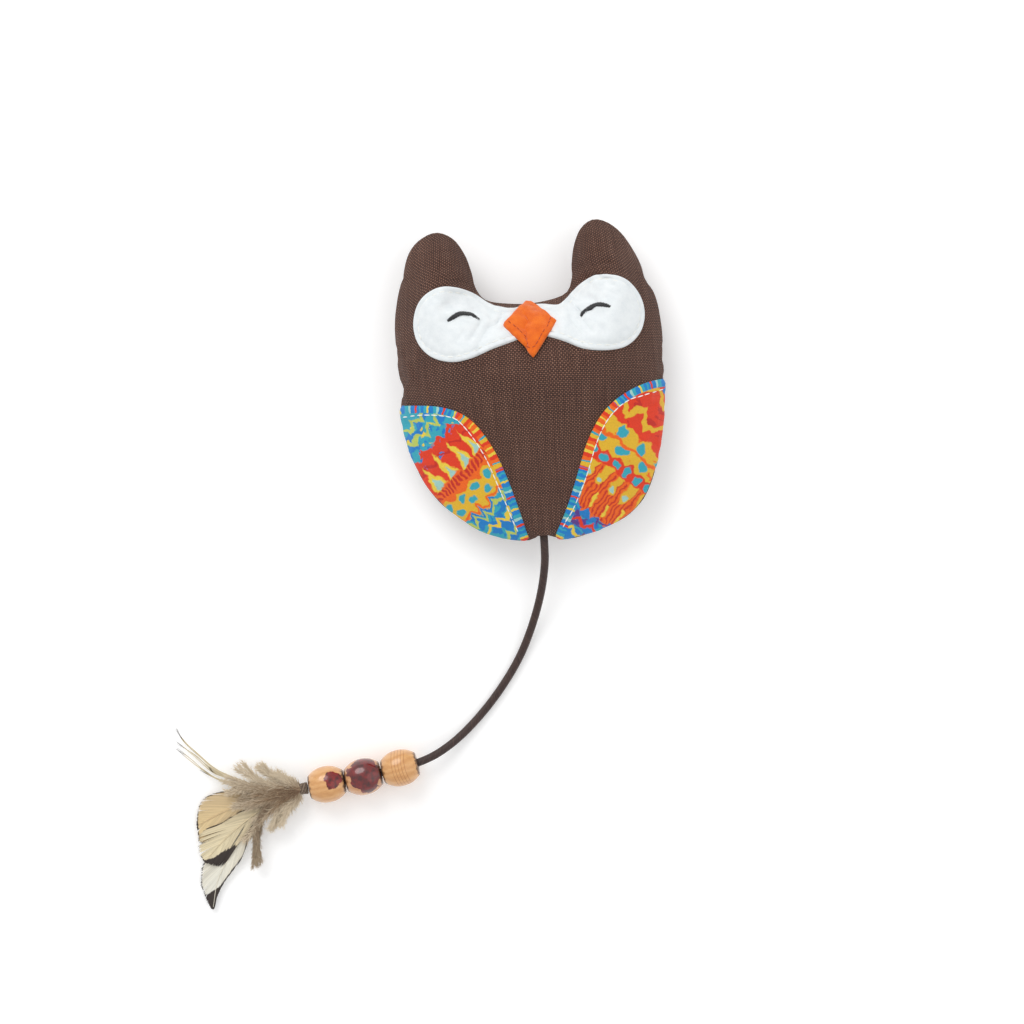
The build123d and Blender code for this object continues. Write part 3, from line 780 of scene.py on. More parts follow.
def feather_material(name, base, pale, rim, rim_width):
    """A feather's blade: paler inside, with a dark rim and dark zones, and barbs that differ a little."""
    material, s, put = new_material(name, Roughness=0.55, Sheen_Weight=0.2)
    depth, along, _ = s.split(uv(s, "blade"))
    tone = s.node("ShaderNodeAttribute", attribute_name="tone").outputs["Fac"]
    ink = s.node("ShaderNodeAttribute", attribute_name="ink").outputs["Fac"]
    colour = s.mix(s.step(along, 0.3, 1.0), base, pale)
    uneven = s.math("ADD", depth, s.math("MULTIPLY", s.math("SUBTRACT", tone, 0.5), 0.5))
    edge = s.math("SUBTRACT", 1.0, s.step(uneven, rim_width * 0.6, rim_width))
    colour = s.mix(s.math("MAXIMUM", edge, s.step(ink, 0.4, 0.7)), colour, rim)
    shade = s.math("MULTIPLY_ADD", tone, 0.5, 0.75)
    s.put(put["Base Color"], s.mix(1.0, colour, s.join(shade, shade, shade), "MULTIPLY"))
    return material


def down_material(name, stops):
    """Soft down that turns from brown at the quill to cream at its ends."""
    material, s, put = new_material(name, Roughness=0.8, Sheen_Weight=0.4)
    pale, along, _ = s.split(uv(s, "blade"))
    tone = s.node("ShaderNodeAttribute", attribute_name="tone").outputs["Fac"]
    place = s.math("ADD", s.math("ADD", along, pale), s.math("MULTIPLY", s.math("SUBTRACT", tone, 0.5), 0.25))
    shade = s.math("MULTIPLY_ADD", tone, 0.3, 0.86)
    s.put(put["Base Color"], s.mix(1.0, s.ramp(place, stops), s.join(shade, shade, shade), "MULTIPLY"))
    return material


def floor_material():
    """Pale matt paper."""
    material, s, put = new_material(
        "pale_floor", Roughness=0.9, Emission_Color=(1, 1, 1, 1), Emission_Strength=0.16,
    )
    tone = s.noise(in_mm(s), 0.01, 2.0)
    s.put(put["Base Color"], s.ramp(tone, [(0.3, (0.93, 0.93, 0.93, 1)), (0.7, (0.95, 0.95, 0.95, 1))]))
    return material


# Print of the wings: bands along one direction, drawn as zigzags, dots, triangles and fingers

RED, ORANGE, GOLD = srgb(226, 58, 24), srgb(240, 102, 20), srgb(228, 180, 45)
TEAL, BLUE, PALE_TEAL = srgb(50, 165, 185), srgb(25, 125, 200), srgb(160, 205, 195)
LIME, YELLOW = srgb(186, 200, 92), srgb(236, 204, 66)
DEEP_RED, PURPLE = srgb(196, 40, 28), srgb(92, 60, 140)


class Print:
    """Paints shapes one over the other. T runs across the bands and S along them, in millimetres."""

    def __init__(self, tools, vector, run):
        self.s = tools
        moved = vector
        for scale, amount in ((0.13, 5.0), (0.42, 2.2), (1.4, 0.5)):
            cloud = tools.node("ShaderNodeTexNoise", {"Vector": vector, "Scale": scale, "Detail": 1.5})
            wobble = tools.vector("SUBTRACT", cloud.outputs["Color"], (0.5, 0.5, 0.5))
            moved = tools.vector("ADD", moved, tools.scale(wobble, amount))
        x, y, _ = tools.split(moved)
        self.t = tools.math("ADD", tools.math("MULTIPLY", x, run[0]), tools.math("MULTIPLY", y, run[1]))
        self.along = tools.math("ADD", tools.math("MULTIPLY", x, -run[1]), tools.math("MULTIPLY", y, run[0]))
        self.vector = moved
        self.colour = None

    def paint(self, mask, colour):
        self.colour = self.s.mix(mask, self.colour, colour)

    def above(self, value, low):
        return self.s.step(value, low - PRINT_FADE, low + PRINT_FADE)

    def below(self, value, high):
        return self.s.math("SUBTRACT", 1.0, self.above(value, high))

    def between(self, value, low, high):
        return self.s.math("MULTIPLY", self.above(value, low), self.below(value, high))

    def saw(self, period, offset=0.0):
        """0 to 1 and back along the band."""
        moved = self.s.math("SUBTRACT", self.along, offset)
        return self.s.math("DIVIDE", self.s.math("PINGPONG", moved, period / 2), period / 2)

    def zig(self, middle, half_width, height, period, offset, colour):
        centre = self.s.math("MULTIPLY_ADD", self.saw(period, offset), height, middle)
        line = self.s.math("SUBTRACT", self.t, centre)
        self.paint(self.below(self.s.math("ABSOLUTE", line), half_width), colour)

    def band(self, start, height, period, offset, colour):
        edge = self.s.math("SUBTRACT", self.t, self.s.math("MULTIPLY", self.saw(period, offset), height))
        self.paint(self.above(edge, start), colour)

    def gap_to(self, period, offset):
        """Distance along the band to the nearest of the repeats."""
        return self.s.math("MULTIPLY", self.saw(period, offset), period / 2)

    def dots(self, middle, radius, period, offset, colour):
        side = self.gap_to(period, offset)
        up = self.s.math("SUBTRACT", self.t, middle)
        reach = self.s.math("ADD", self.s.math("MULTIPLY", side, side), self.s.math("MULTIPLY", up, up))
        self.paint(self.below(self.s.math("SQRT", reach), radius), colour)

    def triangles(self, apex, base, half_width, period, offset, colour):
        slope = half_width / (base - apex)
        allowed = self.s.math("MULTIPLY", self.s.math("SUBTRACT", self.t, apex), slope)
        within = self.above(self.s.math("SUBTRACT", allowed, self.gap_to(period, offset)), 0.0)
        self.paint(self.s.math("MULTIPLY", within, self.below(self.t, base)), colour)

    def fingers(self, start, end, half_width, period, offset, colour):
        slim = self.below(self.gap_to(period, offset), half_width)
        self.paint(self.s.math("MULTIPLY", slim, self.between(self.t, start, end)), colour)

    def mottle(self, start, end, colour, scale, level):
        spots = self.s.step(self.s.noise(self.vector, scale, 2.0), level, level + 0.04)
        self.paint(self.s.math("MULTIPLY", spots, self.between(self.t, start, end)), colour)


def left_print(tools, vector):
    """Bands of the left wing, from its outer top corner to the foot."""
    art = Print(tools, vector, (0.63, -0.78))
    art.colour = tools.mix(0.0, BLUE, BLUE)
    art.mottle(-40, -4, TEAL, 0.2, 0.46)
    art.zig(-21.0, 0.9, 3.6, 5.6, 2.0, LIME)
    art.zig(-15.6, 0.9, 3.2, 5.6, 0.0, LIME)
    art.mottle(-40, -8, YELLOW, 0.34, 0.62)
    art.band(-10.5, 3.6, 7.0, 1.0, RED)
    art.mottle(-12, -2, BLUE, 0.24, 0.62)
    art.zig(-4.4, 0.5, 2.4, 6.4, 1.0, DEEP_RED)
    art.triangles(-5.4, 7.2, 2.9, 6.4, -38.8, YELLOW)
    art.triangles(0.4, 6.0, 1.7, 6.4, -38.8, PALE_TEAL)
    art.band(5.0, 1.6, 6.4, 1.0, ORANGE)
    art.fingers(6.2, 9.4, 0.5, 1.7, 0.0, DEEP_RED)
    art.band(10.4, 2.6, 6.8, -42.4, GOLD)
    art.dots(13.8, 1.7, 6.8, -42.4, TEAL)
    art.dots(17.6, 1.5, 6.8, -45.8, TEAL)
    art.zig(19.8, 0.55, 2.2, 4.6, 0.0, ORANGE)
    art.band(20.4, 2.6, 4.6, 0.0, BLUE)
    art.mottle(22, 60, TEAL, 0.22, 0.5)
    art.zig(22.4, 0.8, 3.4, 4.6, 0.0, LIME)
    art.zig(28.6, 0.9, 3.4, 4.6, 2.0, YELLOW)
    art.zig(34.6, 0.8, 3.0, 4.6, 0.0, LIME)
    return art.colour


def right_print(tools, vector):
    """Bands of the right wing, from its outer top corner to the foot."""
    art = Print(tools, vector, (-0.66, -0.75))
    art.colour = tools.mix(0.0, RED, RED)
    art.mottle(-60, -24, BLUE, 0.16, 0.44)
    art.mottle(-24, -8, DEEP_RED, 0.2, 0.58)
    art.zig(-16.6, 1.5, 6.0, 9.6, 2.0, GOLD)
    art.zig(-26.0, 1.0, 4.2, 9.6, 2.0, GOLD)
    art.band(-8.4, 2.0, 9.6, 2.0, GOLD)
    art.mottle(-8, 3, ORANGE, 0.3, 0.62)
    art.dots(-4.4, 2.1, 9.6, 37.8, TEAL)
    art.dots(0.6, 2.0, 9.6, 42.6, TEAL)
    art.zig(-2.2, 0.7, 0.6, 9.6, 0.0, ORANGE)
    art.band(3.4, 1.6, 5.2, 38.1, RED)
    art.dots(6.4, 1.6, 5.2, 38.1, TEAL)
    art.band(8.0, 1.2, 5.2, 0.0, ORANGE)
    art.fingers(9.4, 26.0, 0.28, 1.5, 0.4, DEEP_RED)
    art.fingers(8.6, 15.0, 1.7, 6.1, 42.0, GOLD)
    art.dots(15.0, 1.7, 6.1, 42.0, GOLD)
    art.dots(14.6, 1.15, 6.1, 42.0, PALE_TEAL)
    art.fingers(19.0, 24.0, 0.6, 6.1, 45.0, YELLOW)
    art.band(25.0, 2.6, 5.0, 0.0, BLUE)
    art.mottle(26, 60, PURPLE, 0.2, 0.52)
    art.mottle(26, 60, TEAL, 0.26, 0.56)
    art.zig(29.6, 0.7, 2.4, 5.0, 0.0, RED)
    art.zig(34.0, 0.7, 2.4, 5.0, 0.0, YELLOW)
    return art.colour


def printed_material(name, painter):
    """Printed cotton: the drawn bands, a hem with short stripes, a fine weave, uneven ink that bleeds, and
    painted shade in the weave's low places.
    """
    material, s, put = new_material(name, Roughness=0.85, Sheen_Weight=0.15)
    body = painter(s, uv(s, "plan"))
    along, across, _ = s.split(uv(s, "hem"))
    shifted = s.math("ADD", along, s.math("MULTIPLY", s.noise(uv(s, "hem"), 0.5, 2.0), 1.6))
    turn = s.math("FRACT", s.math("DIVIDE", shifted, 11.0))
    cool = s.ramp(turn, [
        (0.0, BLUE), (0.1, TEAL), (0.2, YELLOW), (0.27, BLUE), (0.42, TEAL), (0.56, PALE_TEAL), (0.64, BLUE),
        (0.78, RED), (0.85, BLUE), (0.93, TEAL),
    ], "CONSTANT")
    warm = s.ramp(turn, [
        (0.0, ORANGE), (0.16, YELLOW), (0.26, RED), (0.4, ORANGE), (0.52, TEAL), (0.58, GOLD), (0.72, RED),
        (0.84, ORANGE), (0.94, YELLOW),
    ], "CONSTANT")
    wave = s.math("SINE", s.math("MULTIPLY_ADD", along, 0.115, 0.35))
    stripes = s.mix(s.step(wave, -0.05, 0.05), warm, cool)
    painted = s.mix(s.step(across, 3.0, 3.3), stripes, body)
    weave = s.group(GROUPS["weave"], {"Vector": uv(s, "flat"), "Pitch": 0.36, "Slubs": 0.4})
    # bleed is uneven ink; shade adds painted shade, making the weave's low places about a fifth darker than
    # its tops.
    bleed = s.math("MULTIPLY_ADD", s.noise(uv(s, "plan"), 1.6, 4.0, 0.7), 0.5, 0.72)
    shade = s.math("MULTIPLY", bleed, s.math("MULTIPLY_ADD", s.step(weave["Height"], 0.1, 0.9), 0.22, 0.86))
    s.put(put["Base Color"], s.mix(1.0, painted, s.join(shade, shade, shade), "MULTIPLY"))
    s.put(put["Normal"], s.bump(weave["Height"], 0.5, 0.0001))
    return material


# Rows of stitches

def stitch_nodes():
    """Lays one plump stitch on every point, along the point's own heading."""
    group = bpy.data.node_groups.new("stitch_row", "GeometryNodeTree")
    for name, kind, default in (
        ("Points", "Geometry", None), ("Length", "Float", 0.0026), ("Width", "Float", 0.0007),
        ("Unevenness", "Float", 0.12), ("Seed", "Int", 1), ("Thread", "Material", None),
    ):
        socket = group.interface.new_socket(name, in_out="INPUT", socket_type="NodeSocket" + kind)
        if default is not None:
            socket.default_value = default
    group.interface.new_socket("Stitches", in_out="OUTPUT", socket_type="NodeSocketGeometry")
    nodes, links = group.nodes, group.links
    given = nodes.new("NodeGroupInput").outputs
    result = nodes.new("NodeGroupOutput").inputs
    ball = nodes.new("GeometryNodeMeshUVSphere")
    ball.inputs["Segments"].default_value = 10
    ball.inputs["Rings"].default_value = 8
    ball.inputs["Radius"].default_value = 0.5
    heading = nodes.new("GeometryNodeInputNamedAttribute")
    heading.data_type = "FLOAT_VECTOR"
    heading.inputs["Name"].default_value = "heading"
    turn = nodes.new("FunctionNodeAlignRotationToVector")
    turn.axis = "X"
    links.new(heading.outputs["Attribute"], turn.inputs["Vector"])
    size = nodes.new("ShaderNodeCombineXYZ")
    links.new(given["Length"], size.inputs["X"])
    links.new(given["Width"], size.inputs["Y"])
    links.new(given["Width"], size.inputs["Z"])
    low = nodes.new("ShaderNodeMath")
    low.operation = "SUBTRACT"
    low.inputs[0].default_value = 1.0
    links.new(given["Unevenness"], low.inputs[1])
    high = nodes.new("ShaderNodeMath")
    high.operation = "ADD"
    high.inputs[0].default_value = 1.0
    links.new(given["Unevenness"], high.inputs[1])
    chance = nodes.new("FunctionNodeRandomValue")
    chance.data_type = "FLOAT"
    links.new(low.outputs[0], chance.inputs[2])
    links.new(high.outputs[0], chance.inputs[3])
    links.new(given["Seed"], chance.inputs["Seed"])
    own_size = nodes.new("GeometryNodeInputNamedAttribute")
    own_size.data_type = "FLOAT"
    own_size.inputs["Name"].default_value = "size"
    both = nodes.new("ShaderNodeMath")
    both.operation = "MULTIPLY"
    links.new(chance.outputs[1], both.inputs[0])
    links.new(own_size.outputs["Attribute"], both.inputs[1])
    scaled = nodes.new("ShaderNodeVectorMath")
    scaled.operation = "SCALE"
    links.new(size.outputs["Vector"], scaled.inputs[0])
    links.new(both.outputs[0], scaled.inputs["Scale"])
    place = nodes.new("GeometryNodeInstanceOnPoints")
    links.new(given["Points"], place.inputs["Points"])
    links.new(ball.outputs["Mesh"], place.inputs["Instance"])
    links.new(turn.outputs["Rotation"], place.inputs["Rotation"])
    links.new(scaled.outputs["Vector"], place.inputs["Scale"])
    real = nodes.new("GeometryNodeRealizeInstances")
    links.new(place.outputs["Instances"], real.inputs["Geometry"])
    smooth = nodes.new("GeometryNodeSetShadeSmooth")
    links.new(real.outputs["Geometry"], smooth.inputs["Geometry"])
    cover = nodes.new("GeometryNodeSetMaterial")
    links.new(smooth.outputs[0], cover.inputs["Geometry"])
    links.new(given["Thread"], cover.inputs["Material"])
    links.new(cover.outputs["Geometry"], result["Stitches"])
    return group


STITCH_ROW = stitch_nodes()


def stitch_row(name, places, headings, length, width, thread, replaced,
               seed=1, sizes=None):
    """A row of stitches at the places, each along its heading. Sizes are in millimetres."""
    mesh = bpy.data.meshes.new(name + "_points")
    mesh.from_pydata([tuple(place) for place in np.asarray(places) * MM], [], [])
    attribute = mesh.attributes.new("heading", "FLOAT_VECTOR", "POINT")
    attribute.data.foreach_set("vector", np.asarray(headings, float).ravel())
    own_size = mesh.attributes.new("size", "FLOAT", "POINT")
    own_size.data.foreach_set("value", np.ones(len(places)) if sizes is None else sizes)
    carrier = bpy.data.objects.new(name + "_points", mesh)
    bpy.context.scene.collection.objects.link(carrier)
    modifier = carrier.modifiers.new("Stitches", "NODES")
    modifier.node_group = STITCH_ROW
    values = {"Length": length * MM, "Width": width * MM, "Seed": seed, "Thread": thread}
    for item in STITCH_ROW.interface.items_tree:
        if item.item_type == "SOCKET" and item.in_out == "INPUT" and item.name in values:
            modifier[item.identifier] = values[item.name]
    bpy.context.view_layer.update()
    graph = bpy.context.evaluated_depsgraph_get()
    made = bpy.data.meshes.new_from_object(carrier.evaluated_get(graph))
    made.name = name
    piece = bpy.data.objects.new(name, made)
    bpy.context.scene.collection.objects.link(piece)
    carrier.modifiers.remove(modifier)
    bpy.data.objects.remove(carrier)
    finish_piece(piece, thread, "owl", replaced)
    return piece


def along_line(panel, plan_line, pitch, lift, closed=False, skip=None):
    """Even places along a plan line on the body, lifted off it, with the heading of the line there."""
    line = smooth_line(plan_line, pitch, closed)
    if skip is not None:
        line = np.array([point for point in line if not skip(point)])
    places, normals = panel.laid([panel.flat_under(x, y) for x, y in line])
    before = np.roll(places, 1, axis=0)
    after = np.roll(places, -1, axis=0)
    if not closed:
        before[0] = places[0]
        after[-1] = places[-1]
    ahead = after - before
    ahead /= np.linalg.norm(ahead, axis=1)[:, None] + 1e-9
    return places + normals * lift, ahead, normals


# Tubes and turned shapes

def frames_along(path):
    """Two directions across a path at every point, without twist."""
    tangents = np.gradient(path, axis=0)
    tangents /= np.linalg.norm(tangents, axis=1)[:, None]
    side = np.cross(tangents[0], UP)
    sides = []
    for tangent in tangents:
        side = side - tangent * (side @ tangent)
        side = side / np.linalg.norm(side)
        sides.append(side)
    sides = np.array(sides)
    return sides, np.cross(tangents, sides)


def tube(name, path, radii, around=20):
    """A closed tube along a path, with UV in turns round it and millimetres along it."""
    sides, ups = frames_along(path)
    angles = np.linspace(0, 2 * math.pi, around, endpoint=False)
    rings = []
    for point, side, up, radius in zip(path, sides, ups, radii):
        rings.append(point + radius * (np.cos(angles)[:, None] * side + np.sin(angles)[:, None] * up))
    points = np.vstack(rings + [path[:1], path[-1:]])
    faces = []
    for ring in range(len(path) - 1):
        for step in range(around):
            after = (step + 1) % around
            first, second = ring * around, (ring + 1) * around
            faces.append((first + step, first + after, second + after, second + step))
    start, end = len(points) - 2, len(points) - 1
    last = (len(path) - 1) * around
    for step in range(around):
        after = (step + 1) % around
        faces.append((start, after, step))
        faces.append((end, last + step, last + after))
    piece = mesh_object(name, points, faces)
    reached = np.concatenate([[0], np.cumsum(np.linalg.norm(np.diff(path, axis=0), axis=1))])
    layer = piece.data.uv_layers.new(name="tube")
    for polygon in piece.data.polygons:
        steps = [piece.data.loops[i].vertex_index for i in polygon.loop_indices]
        turns = [(index % around) / around if index < start else 0.5 for index in steps]
        if max(turns) - min(turns) > 0.6:
            turns = [turn + 1 if turn < 0.5 else turn for turn in turns]
        for loop, index, turn in zip(polygon.loop_indices, steps, turns):
            ring = index // around if index < start else (0 if index == start else len(path) - 1)
            layer.data[loop].uv = (turn, reached[ring])
    return piece


def turned(name, profile, centre, axis, around=56):
    """A closed shape turned about an axis: the profile is (radius, along) in millimetres, a closed loop."""
    axis = np.array(axis) / np.linalg.norm(axis)
    side = np.cross(axis, UP)
    side /= np.linalg.norm(side)
    up = np.cross(axis, side)
    points, local, faces = [], [], []
    count = len(profile)
    for step in range(around):
        angle = 2 * math.pi * step / around
        for radius, along in profile:
            points.append(np.array(centre) + axis * along
                          + radius * (math.cos(angle) * side + math.sin(angle) * up))
            local.append((radius * math.cos(angle), radius * math.sin(angle), along))
    for step in range(around):
        after = (step + 1) % around
        for index in range(count):
            follow = (index + 1) % count
            here, there = step * count, after * count
            faces.append((here + index, here + follow, there + follow, there + index))
    piece = mesh_object(name, points, faces)
    attribute = piece.data.attributes.new("bead_place", "FLOAT_VECTOR", "POINT")
    attribute.data.foreach_set("vector", np.array(local).ravel())
    return piece


# Feathers

def feather_height(x, layer):
    """The tuft slopes down to the floor from the binding, one feather on the next."""
    return 6.7 - 0.086 * (TUFT_ROOT[0] - x) + (layer - 3.0) * 0.55


def ribbon(points, widths, ups, store, uvs, tone):
    """Adds one thin ribbon to the store of points, faces and tones."""
    ahead = np.gradient(points, axis=0)
    side = np.cross(ahead, ups)
    side /= np.linalg.norm(side, axis=1)[:, None] + 1e-9
    base = len(store["points"])
    for point, across, width, place in zip(points, side, widths, uvs):
        store["points"] += [point - across * width / 2, point + across * width / 2]
        store["uvs"] += [place, place]
        store["tones"] += [tone, tone]
    for step in range(len(points) - 1):
        a = base + 2 * step
        store["faces"].append((a, a + 1, a + 3, a + 2))


def ribbons_object(name, store):
    """A mesh object from a store of ribbons."""
    piece = mesh_object(name, store["points"], store["faces"], {"blade": store["uvs"]})
    attribute = piece.data.attributes.new("tone", "FLOAT", "POINT")
    attribute.data.foreach_set("value", store["tones"])
    return piece


def blade_shares(store, outline, ink):
    """How far each point is inside the blade's edge, and whether it lies in a dark zone."""
    places = np.array(store["points"])[:, :2]
    edge, _ = distance_to(places, np.array(outline), closed=True)
    dark = np.zeros(len(places))
    for zone in ink:
        dark = np.maximum(dark, inside(places, np.array(zone)))
    store["uvs"] = [(depth, place[1]) for depth, place in zip(edge, store["uvs"])]
    return dark


def vane(name, layer, spine, outline, start, seed, lean=0.6, ink=(), spacing=0.17, ragged=0.03):
    """A feather: a shaft along the spine, and barbs on both sides that reach to the blade's outline."""
    chance = np.random.default_rng(seed)
    line = smooth_line(spine, spacing)
    edge_line = smooth_line(outline, 0.6, closed=True)
    store = {"points": [], "faces": [], "uvs": [], "tones": []}
    count = len(line)
    tangent = np.gradient(line, axis=0)
    tangent /= np.linalg.norm(tangent, axis=1)[:, None]
    marks = np.arange(0.0, 26.0, 0.4)
    steps = 9
    part = np.linspace(0, 1, steps)
    bundle = 0.0
    for side in (1, -1):
        for index in range(int(start * count), count):
            share = index / count
            if index % 9 == 0:
                bundle = chance.normal(0, 0.035)
            turn = lean * (1 - 0.45 * share) + bundle + chance.normal(0, 0.012)
            ahead = tangent[index]
            across = np.array([-ahead[1], ahead[0]]) * side
            bends = turn * (1 - 0.018 * marks)
            runs = np.cos(bends)[:, None] * ahead + np.sin(bends)[:, None] * across
            path = line[index] + np.vstack([[0, 0], np.cumsum(runs * 0.4, axis=0)[:-1]])
            within = inside(path, edge_line)
            if not within[0]:
                continue
            reach = int(np.argmin(within)) if not within.all() else len(path) - 1
            if reach < 2:
                continue
            last = reach * (1 - abs(chance.normal(0, ragged)))
            at = part * last
            places = np.stack([np.interp(at, np.arange(len(path)), path[:, k]) for k in (0, 1)], 1)
            length = last * 0.4
            heights = [
                max(feather_height(place[0], layer) + 0.3 * step - 0.05 * length * step * step, 0.2)
                for place, step in zip(places, part)
            ]
            heights = np.array(heights) + chance.normal(0, 0.02)
            barb = np.interp(part, [0, 0.85, 1], [0.4, 0.34, 0.06])
            uvs = [(0.0, share)] * steps
            tone = float(np.clip(chance.normal(0.5, 0.14) + 2 * bundle, 0, 1))
            ribbon(np.c_[places, heights], barb, np.tile(UP, (steps, 1)), store, uvs, tone)
    dark = blade_shares(store, edge_line, ink)
    shaft = np.c_[line, [feather_height(x, layer) + 0.22 for x, _ in line]]
    radii = np.interp(np.linspace(0, 1, count), [0, 0.15, 1], [0.4, 0.3, 0.08])
    base = len(store["points"])
    for point, ahead, radius in zip(shaft[::4], tangent[::4], radii[::4]):
        sideways = np.array([-ahead[1], ahead[0], 0.0])
        for turn in np.linspace(0, 2 * math.pi, 6, endpoint=False):
            offset = sideways * math.cos(turn) + np.array([0, 0, 1.0]) * math.sin(turn)
            store["points"].append(point + offset * radius)
            store["uvs"].append((3.0, 0.5))
            store["tones"].append(0.75)
    rings = (len(store["points"]) - base) // 6
    for ring in range(rings - 1):
        for step in range(6):
            a, b = base + ring * 6 + step, base + ring * 6 + (step + 1) % 6
            store["faces"].append((a, b, b + 6, a + 6))
    store["faces"].append(tuple(base + step for step in reversed(range(6))))
    store["faces"].append(tuple(base + (rings - 1) * 6 + step for step in range(6)))
    piece = ribbons_object(name, store)
    values = np.concatenate([dark, np.zeros(len(store["points"]) - len(dark))])
    attribute = piece.data.attributes.new("ink", "FLOAT", "POINT")
    attribute.data.foreach_set("value", values)
    return piece


def plume(store, line, hairs, length, chance, pale):
    """One strand of down: a fine shaft with long soft hairs that lean along it."""
    path = smooth_line(line, 0.35)
    count = len(path)
    tangent = np.gradient(path, axis=0)
    tangent /= np.linalg.norm(tangent, axis=1)[:, None]
    steps = 6
    part = np.linspace(0, 1, steps)
    ups = np.tile(UP, (steps, 1))
    level = chance.uniform(-0.6, 1.6)
    for _ in range(hairs):
        index = int(chance.integers(0, count))
        share = index / count
        side = chance.choice((-1.0, 1.0))
        ahead = tangent[index]
        across = np.array([-ahead[1], ahead[0]]) * side
        turn = abs(chance.normal(0.42, 0.2))
        bend = chance.normal(-0.12, 0.25)
        reach = length * chance.uniform(0.5, 1.15) * (1 - 0.4 * share)
        marks = np.cumsum(np.full(steps, reach / steps)) - reach / steps
        angles = turn + bend * part
        runs = np.cos(angles)[:, None] * ahead + np.sin(angles)[:, None] * across
        places = path[index] + np.cumsum(runs * reach / steps, axis=0) - runs[0] * reach / steps
        base = feather_height(path[index][0], 4) + level
        rise = chance.normal(0, 0.7) * part * marks.max() / 4
        heights = np.maximum(base + rise + chance.normal(0, 0.25), 0.25)
        uvs = [(pale, 0.62 * share + 0.38 * step) for step in part]
        tone = float(np.clip(chance.normal(0.5, 0.2), 0, 1))
        ribbon(np.c_[places, heights], np.interp(part, [0, 1], [0.2, 0.05]), ups, store, uvs, tone)


def fluff(name, plumes, hairs, length, seed, scatter=1.2, copies=3):
    """A bunch of down strands, each line repeated a few times with a little scatter."""
    chance = np.random.default_rng(seed)
    store = {"points": [], "faces": [], "uvs": [], "tones": []}
    for line, pale in plumes:
        for _ in range(copies):
            moved = np.array(line, float)
            grow = np.linspace(0.25, 1.0, len(moved))[:, None]
            moved = moved + chance.normal(0, scatter, moved.shape) * grow
            plume(store, moved, hairs, length, chance, pale)
    return ribbons_object(name, store)


HAIRS_IN_BARB = 5


def strands(name, lines, seed):
    """A few long loose barbs, each a bundle of fine hairs that parts near its tip."""
    chance = np.random.default_rng(seed)
    store = {"points": [], "faces": [], "uvs": [], "tones": []}
    for line, dark_from in lines:
        for _ in range(HAIRS_IN_BARB):
            moved = np.array(line, float)
            moved = moved + chance.normal(0, 0.28, moved.shape)
            path = smooth_line(moved, 0.8)
            part = np.linspace(0, 1, len(path))
            heights = np.array([feather_height(x, 1) for x, _ in path]) + chance.normal(0.3, 0.2)
            widths = np.interp(part, [0, 0.7, 1], [0.42, 0.34, 0.06])
            uvs = [(0.0, max(0.0, (step - dark_from) / (1.001 - dark_from))) for step in part]
            ups = np.tile(UP, (len(path), 1))
            tone = float(np.clip(chance.normal(0.5, 0.2), 0, 1))
            ribbon(np.c_[path, heights], widths, ups, store, uvs, tone)
    return ribbons_object(name, store)


# Camera, light and floor

CAMERA_PLACE = (-0.0112, -0.0479, 1.0817)
CAMERA_TURN = -4.5


def make_camera():
    """A long lens straight above the toy."""
    camera_data = bpy.data.cameras.new("camera")
    camera_data.lens = 100
    camera_data.sensor_width = 36
    camera_data.clip_end = 20
    camera = bpy.data.objects.new("camera", camera_data)
    camera.location = CAMERA_PLACE
    camera.rotation_euler = (0.0, 0.0, math.radians(CAMERA_TURN))
    bpy.context.scene.collection.objects.link(camera)
    bpy.context.scene.camera = camera


def make_light(name, place, target, size, power):
    """A round soft light aimed at a target."""
    light = bpy.data.lights.new(name, "AREA")
    light.shape = "DISK"
    light.size = size
    light.energy = power
    lamp = bpy.data.objects.new(name, light)
    lamp.location = place
    lamp.rotation_euler = (Vector(target) - Vector(place)).to_track_quat("-Z", "Y").to_euler()
    bpy.context.scene.collection.objects.link(lamp)


def make_stage():
    """Wide pale floor, two big soft lights and an even sky."""
    size = 3.0
    mesh = bpy.data.meshes.new("floor")
    corners = [(-size, -size, 0), (size, -size, 0), (size, size, 0), (-size, size, 0)]
    mesh.from_pydata(corners, [], [(0, 1, 2, 3)])
    floor = bpy.data.objects.new("floor", mesh)
    floor.data.materials.append(floor_material())
    bpy.context.scene.collection.objects.link(floor)
    middle = (0.0, -0.05, 0.0)
    make_light("key_light", (-0.5, 0.95, 1.0), middle, 1.0, 8.5)
    make_light("fill_light", (0.9, -0.2, 1.0), middle, 1.6, 2.6)
    world = bpy.data.worlds.new("sky")
    world.use_nodes = True
    sky = world.node_tree.nodes["Background"]
    sky.inputs["Color"].default_value = (1.0, 1.0, 1.0, 1.0)
    sky.inputs["Strength"].default_value = 0.76
    bpy.context.scene.world = world
    bpy.context.scene.view_settings.view_transform = "Standard"


# Cord

def make_cord():
    """The cord's centreline as a smooth curve, and the tube that follows it."""
    curve = bpy.data.curves.new("cord_line", "CURVE")
    curve.dimensions = "3D"
    curve.resolution_u = 14
    spline = curve.splines.new("NURBS")
    spline.points.add(len(CORD_ROUTE) - 1)
    for point, place in zip(spline.points, CORD_ROUTE):
        point.co = (place[0] * MM, place[1] * MM, place[2] * MM, 1.0)
    spline.order_u = 3
    spline.use_endpoint_u = True
    holder = bpy.data.objects.new("cord_line", curve)
    bpy.context.scene.collection.objects.link(holder)
    bpy.context.view_layer.update()
    drawn = bpy.data.meshes.new_from_object(holder.evaluated_get(bpy.context.evaluated_depsgraph_get()))
    path = np.array([tuple(vertex.co) for vertex in drawn.vertices]) / MM
    bpy.data.objects.remove(holder)
    path = smooth_line(path, 0.8)
    radii = np.full(len(path), CORD_RADIUS)
    radii[0] = 0.6 * CORD_RADIUS
    radii[-1] = 0.6 * CORD_RADIUS
    cord = tube("cord_tube", path, radii, 24)
    cord.data.materials.append(cord_material())
    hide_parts("cord", "cord_knot")
    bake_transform(cord)
    return cord, path


